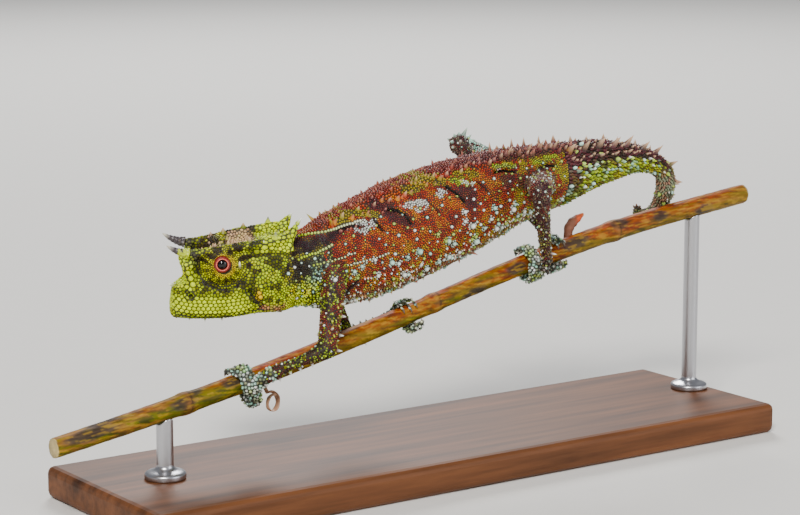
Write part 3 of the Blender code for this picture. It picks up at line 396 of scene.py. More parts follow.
# Forms
@dataclass(frozen=True)
class HeadForm:
    """The head in its own frame: forward, left and up from a point between the eyes."""

    origin: tuple = (-24.09, 3.77, 24.45)
    turn: float = math.radians(25.0)
    roll: float = math.radians(5.0)
    rear: float = -6.9
    front: float = 6.08
    stations: int = 90
    top: Track = Track(
        (
            (-9.5, 3.6), (-6.9, 3.5), (-4.0, 3.05), (-1.0, 2.3), (1.1, 1.7), (2.6, 0.8), (3.6, -0.6),
            (4.3, -1.3), (5.1, -1.5), (5.75, -1.95), (5.95, -2.8), (6.08, -3.8),
        )
    )
    bottom: Track = Track(
        (
            (-9.5, -4.6), (-6.6, -4.8), (-3.0, -4.85), (0.6, -5.25), (3.5, -5.3), (5.2, -5.3), (5.75, -5.25),
            (6.08, -4.85),
        )
    )
    crest_up: Track = Track(
        (
            (-9.5, 4.0), (-6.9, 3.9), (-5.1, 3.6), (-2.6, 3.15), (-0.6, 2.95), (1.1, 2.5), (3.3, 2.0),
            (4.1, -0.2), (4.6, -1.2), (5.1, -1.55), (5.75, -2.0), (5.95, -2.85), (6.08, -3.85),
        )
    )
    crest_out: Track = Track(
        (
            (-9.5, 2.1), (-7.0, 2.7), (-4.0, 3.1), (-1.0, 3.0), (1.6, 2.7), (3.3, 2.4), (4.6, 1.7),
            (5.1, 1.45), (5.75, 1.05), (6.08, 0.6),
        )
    )
    cheek_out: Track = Track(
        (
            (-9.5, 2.7), (-7.0, 3.5), (-4.0, 3.75), (-1.0, 3.3), (1.6, 2.8), (3.4, 2.45), (4.8, 2.05),
            (5.75, 1.5), (6.08, 0.9),
        )
    )
    cheek_up: Track = Track(((-9.5, -0.6), (-4.0, -1.0), (1.6, -2.0), (4.8, -3.0), (6.08, -4.0)))
    lip_out: Track = Track(
        (
            (-9.5, 2.4), (-7.0, 3.1), (-4.0, 3.2), (-1.0, 2.9), (1.6, 2.55), (3.4, 2.3), (4.8, 1.95),
            (5.75, 1.5), (6.08, 0.95),
        )
    )
    mouth_up: Track = Track(
        ((-9.5, -3.6), (-3.6, -3.9), (-1.5, -4.45), (0.6, -4.75), (4.0, -4.8), (6.08, -4.5))
    )
    mouth_corner: float = -3.6
    eye_place: tuple = (0.6, 3.95, 1.1)
    turret_centre: tuple = (0.6, 1.9, 0.85)
    turret_radii: tuple = (2.45, 2.15, 2.2)
    brow_stations: tuple = (-6.2, -4.6, -2.8, -1.0, 0.8, 2.4)
    brow_end: tuple = (3.5, 2.5, 2.15)
    brow_radii: tuple = (0.5, 0.55, 0.55, 0.55, 0.55, 0.55, 0.58, 0.56)
    canthus: tuple = (
        ((3.9, 2.3, 1.15), 0.55), ((4.45, 2.35, 0.95), 0.55), ((4.5, 2.2, 0.45), 0.52),
        ((4.25, 2.0, -0.2), 0.5), ((3.95, 1.8, -0.9), 0.5), ((4.35, 1.55, -1.55), 0.46),
        ((4.95, 1.25, -1.95), 0.4),
    )
    horn_root: tuple = (4.2, 2.5, 2.25)
    horn_tip: tuple = (6.55, 2.65, 3.25)
    horn_radii: tuple = (0.56, 0.44, 0.28, 0.06)
    horn_bend: float = 0.16
    nostril: tuple = (4.0, 2.0, -2.45)
    spur: tuple = ((-5.9, 2.35, 3.2), (-6.55, 2.35, 3.9), (-7.1, 2.42, 4.75), (-7.35, 2.45, 5.2))
    spur_radii: tuple = (0.8, 0.66, 0.4, 0.26)

    def axes(self) -> Array:
        """The head's forward, left and up directions, as rows."""
        forward = np.array([-math.cos(self.turn), math.sin(self.turn), 0.0])
        level = np.array([-math.sin(self.turn), -math.cos(self.turn), 0.0])
        up = np.array([0.0, 0.0, 1.0])
        left = level * math.cos(self.roll) - up * math.sin(self.roll)
        rise = up * math.cos(self.roll) + level * math.sin(self.roll)
        return np.array([forward, left, rise])

    def place(self, local: Sequence) -> Array:
        """Places of the head's own frame, in the frame of the solids."""
        return np.asarray(self.origin) + np.asarray(local, float) @ self.axes()

    def way(self, local: Sequence) -> Array:
        """A direction of the head's own frame, in the frame of the solids."""
        return unit(np.asarray(local, float) @ self.axes())

    def local(self, points: Array) -> Array:
        """Places of the frame of the solids, in the head's own frame."""
        return (points - np.asarray(self.origin)) @ self.axes().T

    def ring(self, x: float) -> Array:
        """The head's outline at x, rounded between its corners."""
        top, bottom = self.top.at(x), self.bottom.at(x)
        crest_up, crest_out = self.crest_up.at(x), self.crest_out.at(x)
        cheek_up, cheek_out = self.cheek_up.at(x), self.cheek_out.at(x)
        mouth_up, lip_out = self.mouth_up.at(x), self.lip_out.at(x)
        open_share = float(ramp(x, self.mouth_corner - 0.6, self.mouth_corner + 0.4))
        groove, lip = 0.3 * open_share, 0.3 - 0.14 * open_share
        below = mouth_up - bottom
        half = [
            (0.0, top),
            (crest_out * 0.55, top + (crest_up - top) * 0.3),
            (crest_out, crest_up),
            (crest_out * 0.4 + cheek_out * 0.6, (crest_up + cheek_up) / 2),
            (cheek_out, cheek_up),
            (lip_out * 0.6 + cheek_out * 0.4, cheek_up + (mouth_up - cheek_up) * 0.6),
            (lip_out, mouth_up + lip),
            (lip_out - groove, mouth_up),
            (lip_out - 0.05, mouth_up - min(lip, below * 0.35)),
            (lip_out * 0.66, bottom + below * 0.2),
            (lip_out * 0.25, bottom),
        ]
        whole = half + [(-out, up) for out, up in reversed(half[1:])]
        keys = [(i, whole[i % len(whole)]) for i in range(-2, len(whole) + 3)]
        flat = Track(tuple(keys)).at(np.arange(len(whole) * 4) / 4.0)
        return self.place(np.column_stack([np.full(len(flat), x), flat]))

    def horn_line(self, side: Side, count: int = 4) -> Array:
        """Points from the root to the tip of one brow horn, a little hollow along its top."""
        root, tip = (self.place((f, side.value * o, u)) for f, o, u in (self.horn_root, self.horn_tip))
        t = np.linspace(0.0, 1.0, count)[:, None]
        return root + (tip - root) * t - self.way((0, 0, 1)) * self.horn_bend * np.sin(math.pi * t)

    def meshes(self) -> list[bpy.types.Mesh]:
        """The head, its eye turrets, its brow crests and the ridges before its eyes."""
        steps = np.linspace(0.0, 1.0, self.stations)
        places = self.rear + (self.front - self.rear) * (1.0 - (1.0 - steps) ** 1.6)
        found = [loft([self.ring(x) for x in places])]
        axes = self.axes() * np.array(self.turret_radii)[:, None]
        brow = [(x, self.crest_out.at(x), self.crest_up.at(x)) for x in self.brow_stations]
        brow += [self.brow_end, np.subtract(self.horn_root, (0.1, 0.0, 0.0))]
        for side in Side:
            mirror = (1, side.value, 1)
            found.append(ball(self.place(np.multiply(self.turret_centre, mirror)), axes))
            found.append(tube(self.place(np.multiply(brow, mirror)), self.brow_radii))
            ridge = np.multiply([place for place, _ in self.canthus], mirror)
            found.append(tube(self.place(ridge), [radius for _, radius in self.canthus]))
            count = self.spur_points(side)
            found.append(tube(self.place(np.multiply(self.spur[:count], mirror)), self.spur_radii[:count]))
        return found

    def spur_points(self, side: Side) -> int:
        """How many of the casque spur's points a side has: the right one is broken short."""
        return len(self.spur) - (side is Side.RIGHT)


@dataclass(frozen=True)
class TorsoForm:
    """The torso: a flat back between two ridges, full flanks and a narrow belly."""

    front: float = -15.2
    back: float = 19.6
    top: Track = Track(
        ((-18.0, 28.2), (-15.2, 29.0), (-9.2, 31.3), (-2.5, 33.3), (7.0, 34.7), (14.5, 35.0), (22.0, 35.0))
    )
    bottom: Track = Track(
        (
            (-18.0, 19.6), (-13.0, 19.45), (-6.5, 20.1), (1.5, 22.25), (7.0, 24.2), (12.9, 26.5),
            (16.5, 27.3), (22.0, 28.9),
        )
    )
    half_width: Track = Track(
        (
            (-18.0, 2.5), (-15.2, 2.7), (-9.0, 3.3), (-1.0, 3.75), (7.0, 3.6), (13.0, 3.0), (18.5, 2.25),
            (22.0, 2.0),
        )
    )
    points: int = 66
    ridge_angle: float = 62.0
    ridge_height: float = 0.32

    def ring(self, x: float) -> Array:
        """The torso's outline across X at x."""
        top, bottom, width = self.top.at(x), self.bottom.at(x), self.half_width.at(x)
        middle, half = (top + bottom) / 2, (top - bottom) / 2
        angle = math.tau * (np.arange(self.points) + 0.5) / self.points
        across, rise = np.cos(angle), np.sin(angle)
        narrow = 1.0 - 0.22 * np.maximum(rise, 0) ** 2 - 0.3 * np.maximum(-rise, 0) ** 2
        out = width * narrow * np.sign(across) * np.abs(across) ** 0.85
        up = half * np.sign(rise) * np.abs(rise) ** 0.9
        off_ridge = np.degrees(np.arcsin(np.minimum(1.0, np.abs(rise)))) - self.ridge_angle
        swell = np.where(rise > 0, self.ridge_height * bell(off_ridge, 0.0, 13.0), 0.0)
        return np.column_stack(
            [np.full(self.points, x), out + np.sign(across) * swell, middle + up + 0.6 * swell]
        )

    def axis(self, x: float) -> Array:
        """The middle of the torso at x."""
        return np.array([x, 0.0, (self.top.at(x) + self.bottom.at(x)) / 2])

    def height(self, points: Array) -> Array:
        """Each point's share of the way from the belly to the back."""
        bottom = self.bottom.at(points[:, 0])
        return (points[:, 2] - bottom) / (self.top.at(points[:, 0]) - bottom)

    def meshes(self) -> list[bpy.types.Mesh]:
        """The torso from the shoulders to the hips."""
        return [loft([self.ring(x) for x in np.linspace(self.front, self.back, 90)])]


@dataclass(frozen=True)
class NeckForm:
    """The short neck between the torso's front and the back of the head."""

    torso: TorsoForm
    head: HeadForm
    waist: float = 0.28

    def head_ring(self) -> Array:
        """The neck's ring at the back of the head, matched point for point with the torso's front."""
        x = self.head.rear
        angle = math.tau * (np.arange(self.torso.points) + 0.5) / self.torso.points
        across, rise = np.cos(angle), np.sin(angle)
        top, bottom = self.head.top.at(x) + 0.1, self.head.bottom.at(x)
        wide = self.head.cheek_out.at(x) - 0.1
        up = (top + bottom) / 2 + (top - bottom) / 2 * rise
        out = -wide * across * (1 - 0.2 * np.maximum(-rise, 0))
        return self.head.place(np.column_stack([np.full(len(up), x + 0.5), out, up]))

    def meshes(self) -> list[bpy.types.Mesh]:
        """The neck, running a little into the torso and the head."""
        first, last = self.torso.ring(self.torso.front + 0.5), self.head_ring()
        rings = []
        for t in np.linspace(0.0, 1.0, 16):
            ring = first * (1 - t) + last * t
            middle = ring.mean(axis=0)
            rings.append(ring + unit(middle - ring) * self.waist * math.sin(math.pi * t))
        return [loft(rings)]


@dataclass(frozen=True)
class TailForm:
    """The tail's middle line with its half height and half width at each point."""

    line: tuple = (
        (18.0, 0.0, 31.4, 3.5, 2.15), (22.4, 0.0, 32.2, 2.95, 1.8), (26.0, 0.0, 32.45, 2.35, 1.5),
        (29.4, 0.1, 32.4, 1.7, 1.3), (32.5, 0.2, 31.7, 1.25, 1.1), (34.45, 0.3, 30.4, 1.15, 1.1),
        (35.05, 0.55, 28.9, 1.2, 1.12), (35.55, 1.4, 27.6, 1.1, 1.05), (35.9, 2.4, 26.3, 1.0, 0.98),
        (35.3, 2.9, 25.2, 0.88, 0.88), (33.9, 2.95, 24.85, 0.74, 0.74), (32.8, 2.8, 25.3, 0.6, 0.6),
        (32.3, 2.5, 26.2, 0.42, 0.42),
    )
    steps: int = 8
    points: int = 32

    def samples(self) -> Array:
        """The line's points, half heights and half widths, close together."""
        return Track(tuple(enumerate(self.line))).at(
            np.arange((len(self.line) - 1) * self.steps + 1) / self.steps
        )

    def meshes(self) -> list[bpy.types.Mesh]:
        """The whole tail."""
        rows = self.samples()
        rings = oval_rings(rows[:, :3], rows[:, 3], rows[:, 4], self.points, (0, 0, 1))
        rings[0] = np.column_stack([np.full(self.points, rows[0, 0]), rings[0][:, 1:]])
        return [loft(rings)]


@dataclass(frozen=True)
class StemForm:
    """The stem: its middle line, its thickness, its joints and its two cut ends."""

    end: float = 47.0
    line: Track = Track(
        (
            (-50.0, (0.0, 8.15)), (-29.0, (0.1, 11.65)), (-11.3, (0.0, 15.48)), (9.9, (-0.05, 20.68)),
            (24.6, (0.0, 23.75)), (38.5, (0.1, 25.7)), (50.0, (0.0, 27.1)),
        )
    )
    thickness: Track = Track(
        ((-50.0, 1.02), (-29.0, 1.1), (-9.0, 1.12), (1.0, 1.02), (14.0, 1.1), (25.0, 1.16), (50.0, 1.12))
    )
    joints: tuple = (-31.5, 0.5, 26.5)
    joint_swell: float = 0.14
    joint_length: float = 0.9

    def centre(self, x: float) -> Array:
        """The stem's middle at x."""
        return np.array([x, *self.line.at(x)])

    def radius(self, x: float) -> float:
        """The stem's radius at x."""
        swell = sum(math.exp(-(((x - joint) / self.joint_length) ** 2)) for joint in self.joints)
        return float(self.thickness.at(x)) + self.joint_swell * swell

    def way(self, x: float) -> Array:
        """The stem's direction at x."""
        return unit(self.centre(x + 0.5) - self.centre(x - 0.5))


@dataclass(frozen=True)
class LimbForm:
    """One limb: its three joints, and its radius at each end of its two lengths."""

    region: Region
    joints: tuple
    radii: tuple

    def meshes(self) -> list[bpy.types.Mesh]:
        """The root, the two lengths and the joint between them."""
        first, second, third = (np.array(joint) for joint in self.joints)
        t = np.linspace(0.0, 1.0, 9)[:, None]
        waist = np.sin(math.pi * t[:, 0])
        upper = self.radii[0] + (self.radii[1] - self.radii[0]) * t[:, 0] - 0.05 * waist
        lower = self.radii[2] + (self.radii[3] - self.radii[2]) * t[:, 0] - 0.1 * waist
        beyond = second + unit(second - first) * self.radii[2] * 0.3
        before = second - unit(third - second) * self.radii[2] * 0.3
        return [
            tube(first + (beyond - first) * t, upper, 24),
            tube(before + (third - before) * t, lower, 24),
            ball(second, np.eye(3) * self.radii[2] * 1.02),
            ball(first, np.eye(3) * self.radii[0] * 1.02),
        ]


@dataclass(frozen=True)
class GripForm:
    """A foot that clasps the stem: a palm on the outer side, and bundled digits over and under."""

    region: Region
    across: int
    wrist: tuple
    arrives: tuple
    root_radius: float
    palm_x: float
    over_x: float
    under_x: float
    over_count: int
    over_radius: float
    hang: float
    heel_spine: float = 0.0
    stem: StemForm = StemForm()
    clearance: float = 0.2
    palm_thickness: float = 0.62
    under_radius: float = 0.45
    spacing: float = 0.72

    def around(self, x: float, angle: float, reach: float) -> Array:
        """A place round the stem: 180 is the limb's outer side, 90 the top of the stem."""
        along = self.stem.way(x)
        up = np.cross((0, 1, 0), along)
        up = up if up[2] > 0 else -up
        turned = math.radians(angle)
        side = np.array([0.0, -self.across * math.cos(turned), 0.0])
        return self.stem.centre(x) + side * reach + up * math.sin(turned) * reach

    def digits(self) -> list[tuple[Array, Array]]:
        """The points and radii of each digit, from the palm to the claw."""
        found = []
        over = ((174.0, 34.0), self.over_x, self.over_count, self.over_radius, 0.0)
        under = ((196.0, 330.0), self.under_x, 5 - self.over_count, self.under_radius, self.hang)
        for (start, end), bundle_x, count, thickness, clear in (over, under):
            for i in range(count):
                spread = (i - (count - 1) / 2) * self.spacing
                points, radii = [], []
                for t in np.linspace(0.0, 1.0, 15):
                    angle = start + (end - start) * t * (1.0 - 0.1 * abs(spread))
                    along = (
                        self.palm_x + (bundle_x - self.palm_x) * min(1.0, 0.3 + t)
                        + spread * (0.85 + 0.35 * t)
                    )
                    knuckle = 1.0 + 0.07 * math.cos(t * 4.0 * math.pi)
                    reach = (
                        self.stem.radius(along) + self.clearance + thickness + clear * math.sin(math.pi * t)
                    )
                    points.append(self.around(along, angle, reach))
                    radii.append(thickness * (1.0 - 0.2 * t) * knuckle)
                found.append((np.array(points), np.array(radii)))
        return found

    def meshes(self) -> list[bpy.types.Mesh]:
        """The palm with its wrist, and the digits."""
        palm = self.around(
            self.palm_x, 185.0, self.stem.radius(self.palm_x) + self.clearance + self.palm_thickness
        )
        wrist = np.array(self.wrist)
        start = wrist - unit(np.array(self.arrives)) * 0.4
        middle = (wrist + palm) / 2 + np.array([0.0, self.across * 0.2, 0.0])
        path = [start, wrist, wrist + (middle - wrist) * 0.6, palm + (middle - palm) * 0.35, palm]
        radii = (self.root_radius, self.root_radius, self.root_radius, 0.72, self.palm_thickness)
        found = [tube(path, radii, 24), ball(palm, np.diag((1.2, self.palm_thickness, 1.0)))]
        if self.heel_spine:
            heel = np.array([0.15, self.across * 0.25, -1.0])
            length = self.root_radius + self.heel_spine
            steps = np.linspace(0.0, 0.8, 5)
            found.append(
                tube(
                    [path[2] + heel * length * t for t in steps], [0.46 * (1 - t) + 0.08 for t in steps], 12
                )
            )
        return found + [tube(points, radii, 14) for points, radii in self.digits()]


@dataclass
class Animal:
    """Every form of the animal's flesh, by region."""

    head: HeadForm = HeadForm()
    torso: TorsoForm = TorsoForm()
    tail: TailForm = TailForm()
    stem: StemForm = StemForm()
    arm_radii: tuple = (1.5, 1.05, 1.05, 0.82)
    leg_radii: tuple = (1.8, 1.25, 1.15, 0.66)
    arm_left: tuple = ((-14.1, -2.3, 23.6), (-16.85, -4.8, 16.05), (-23.5, -3.45, 13.8))
    arm_right: tuple = ((-13.2, 2.3, 22.6), (-8.5, 4.0, 14.8), (-4.3, 3.3, 16.0))
    leg_left: tuple = ((14.3, -1.6, 30.9), (8.95, -8.5, 31.4), (13.6, -3.9, 22.3))
    leg_right: tuple = ((14.3, 1.6, 30.9), (11.0, 9.5, 34.5), (19.2, 3.9, 24.6))

    def limbs(self) -> list[LimbForm]:
        """The four limbs."""
        return [
            LimbForm(Region.ARM_LEFT, self.arm_left, self.arm_radii),
            LimbForm(Region.ARM_RIGHT, self.arm_right, self.arm_radii),
            LimbForm(Region.LEG_LEFT, self.leg_left, self.leg_radii),
            LimbForm(Region.LEG_RIGHT, self.leg_right, self.leg_radii),
        ]

    def grips(self) -> list[GripForm]:
        """The four feet."""
        grips = (
            (
                Region.HAND_LEFT, -1, self.arm_left, self.arm_radii[3],
                (-24.4, -24.75, -23.75, 3, 0.36, 0.8), 0.0,
            ),
            (Region.HAND_RIGHT, 1, self.arm_right, self.arm_radii[3], (-3.0, -3.2, -2.7, 3, 0.3, 0.15), 0.0),
            (
                Region.FOOT_LEFT, -1, self.leg_left, self.leg_radii[3], (13.7, 13.85, 14.2, 2, 0.47, 0.15),
                1.1,
            ),
            (Region.FOOT_RIGHT, 1, self.leg_right, self.leg_radii[3], (18.1, 17.9, 17.3, 2, 0.36, 0.1), 1.1),
        )
        found = []
        for region, across, joints, radius, sizes, heel in grips:
            arrives = tuple(np.subtract(joints[2], joints[1]))
            found.append(GripForm(region, across, joints[2], arrives, radius, *sizes, heel))
        return found

    def forms(self) -> list[tuple[Region, list[bpy.types.Mesh]]]:
        """The meshes of every region."""
        found = [
            (Region.HEAD, self.head.meshes()),
            (Region.NECK, NeckForm(self.torso, self.head).meshes()),
            (Region.TORSO, self.torso.meshes()),
            (Region.TAIL, self.tail.meshes()),
        ]
        found += [(limb.region, limb.meshes()) for limb in self.limbs()]
        found += [(grip.region, grip.meshes()) for grip in self.grips()]
        return found


FLESH_NODES = (
    "head", "neck", "torso", "tail_base", "tail_middle", "tail_bend", "tail_tip",
    "upper_arm_left", "forearm_left", "hand_left", "upper_arm_right", "forearm_right", "hand_right",
    "thigh_left", "shank_left", "foot_left", "thigh_right", "shank_right", "foot_right",
)


# Skin
@dataclass
class Skin:
    """One closed skin over every form, with its folds, its colours and a way to find places on it."""

    animal: Animal
    paint: "Paint"
    voxel: float = 0.186
    inset: float = 0.1
    points: Array = field(init=False)
    normals: Array = field(init=False)
    triangles: Array = field(init=False)
    tree: BVHTree = field(init=False)
    form_tree: BVHTree = field(init=False)
    form_regions: Array = field(init=False)

    def joined_forms(self) -> bpy.types.Mesh:
        """All the forms in one mesh, with a note of which region each face is of."""
        made = bmesh.new()
        regions: list[int] = []
        for region, meshes in self.animal.forms():
            for mesh in meshes:
                made.from_mesh(mesh)
                bpy.data.meshes.remove(mesh)
            regions += [region] * (len(made.faces) - len(regions))
        made.faces.index_update()
        made.faces.ensure_lookup_table()
        self.form_tree = BVHTree.FromBMesh(made)
        self.form_regions = np.array(regions)
        return finished(made, "skin")

    def remeshed(self) -> bpy.types.Mesh:
        """The forms as one closed surface with no joins."""
        obj = link("leaf_chameleon_skin", self.joined_forms())
        remesh = obj.modifiers.new("one_surface", "REMESH")
        remesh.mode = "VOXEL"
        remesh.voxel_size = self.voxel
        smooth = obj.modifiers.new("ease", "SMOOTH")
        smooth.factor = 0.5
        smooth.iterations = 3
        mesh = evaluated_mesh(obj)
        bpy.data.objects.remove(obj)
        made = bmesh.new()
        made.from_mesh(mesh)
        self.keep_largest(made)
        self.ease_nape(made)
        return finished(made, "leaf_chameleon_skin")

    def ease_nape(self, made: bmesh.types.BMesh, rounds: int = 70) -> None:
        """Softens the step between the back of the head and the neck."""
        local = self.animal.head.local(np.array([vert.co for vert in made.verts]))
        chosen = (np.abs(local[:, 0] - self.animal.head.rear + 0.2) < 1.8) & (local[:, 2] < 2.4)
        verts = [vert for vert, take in zip(made.verts, chosen) if take]
        for _ in range(rounds):
            bmesh.ops.smooth_vert(
                made, verts=verts, factor=0.5, use_axis_x=True, use_axis_y=True, use_axis_z=True
            )

    @staticmethod
    def keep_largest(made: bmesh.types.BMesh) -> None:
        """Leaves only the surface with the most points."""
        left = set(made.verts)
        bodies = []
        while left:
            queue = [left.pop()]
            body = set(queue)
            while queue:
                for edge in queue.pop().link_edges:
                    for vert in edge.verts:
                        if vert in left:
                            left.remove(vert)
                            body.add(vert)
                            queue.append(vert)
            bodies.append(body)
        bodies.sort(key=len)
        for body in bodies[:-1]:
            bmesh.ops.delete(made, geom=list(body), context="VERTS")

    def regions_of(self, points: Array) -> Array:
        """The region of the form nearest to each point."""
        faces = [self.form_tree.find_nearest(point)[2] for point in points.tolist()]
        return self.form_regions[faces]

    def read(self, mesh: bpy.types.Mesh) -> None:
        """Takes places, normals, triangles and a search tree from the mesh."""
        mesh.calc_loop_triangles()
        corners = np.empty(len(mesh.loop_triangles) * 3, np.int32)
        mesh.loop_triangles.foreach_get("vertices", corners)
        self.triangles = corners.reshape(-1, 3)
        self.points = coordinates(mesh)
        normals = np.empty(len(mesh.vertices) * 3, np.float32)
        mesh.vertex_normals.foreach_get("vector", normals)
        self.normals = normals.reshape(-1, 3).astype(float)
        self.tree = BVHTree.FromPolygons(self.points.tolist(), self.triangles.tolist())

    def press(self, depths: Array, mesh: bpy.types.Mesh) -> None:
        """Moves each vertex inwards by its depth."""
        set_coordinates(mesh, self.points - self.normals * depths[:, None])
        mesh.update()
        self.read(mesh)

    def surface(self, points: Array) -> tuple[Array, Array]:
        """The nearest places on the skin, and the normals there."""
        found = [self.tree.find_nearest(point)[:2] for point in points.tolist()]
        return np.array([place for place, _ in found]), np.array([normal for _, normal in found])

    def leave(self, start: Array, way: Array, reach: float = 40.0) -> tuple[Array, Array] | None:
        """Where a ray from start last leaves the skin, with the normal there."""
        way = unit(np.asarray(way, float))
        place, normal, _, _ = self.tree.ray_cast(Vector(start + way * reach), Vector(-way))
        return None if place is None else (np.array(place), np.array(normal))

    def across(self, x: float, z: float, side: int) -> tuple[Array, Array] | None:
        """Where a level line across the body at (x, z) leaves the skin on one side."""
        return self.leave(np.array([x, 0.0, z]), np.array([0.0, side, 0.0]), ACROSS_REACH)

    def build(self) -> bpy.types.Object:
        """Makes the skin's object, in metres."""
        mesh = self.remeshed()
        self.read(mesh)
        self.press(np.full(len(self.points), self.inset), mesh)
        regions = self.regions_of(self.points)
        self.press(self.paint.folds(self.points, regions), mesh)
        set_tint(mesh, self.paint.skin(self.points, self.normals, regions))
        set_coordinates(mesh, self.points * MM)
        mesh.shade_smooth()
        mesh.update()
        return link("leaf_chameleon_skin", mesh)


def hue(*colour: float) -> Array:
    """A dataclass field that holds a colour of 0 to 255 as linear light."""
    return field(default_factory=lambda: linear(colour))


@dataclass(frozen=True)
class Pigments:
    """The hide's colours, as linear light."""

    lime: Array = hue(172, 190, 0)
    lime_bright: Array = hue(206, 226, 0)
    lime_olive: Array = hue(108, 118, 0)
    yellow: Array = hue(226, 186, 0)
    umber: Array = hue(44, 29, 12)
    # Near black: dark markings, and painted shade in folds, pits and the nostril.
    soot: Array = hue(22, 18, 11)
    slate: Array = hue(70, 62, 58)
    blush: Array = hue(206, 166, 128)
    rose: Array = hue(178, 106, 84)
    brick: Array = hue(176, 52, 12)
    rust: Array = hue(206, 96, 10)
    plum: Array = hue(84, 34, 40)
    dusk: Array = hue(50, 16, 30)
    maroon: Array = hue(124, 40, 28)
    olive: Array = hue(150, 142, 20)
    leaf: Array = hue(168, 190, 12)
    pearl: Array = hue(246, 250, 240)
    mint: Array = hue(176, 236, 214)
    haze: Array = hue(126, 132, 104)


@dataclass
class Mark:
    """A soft patch of one colour, on both sides of the head or the body.

    The places are (forward, up) on the head and (X, Z) on the body.
    """

    places: tuple
    radius: tuple
    pigment: str
    strength: float = 0.9
    ragged: float = 0.0


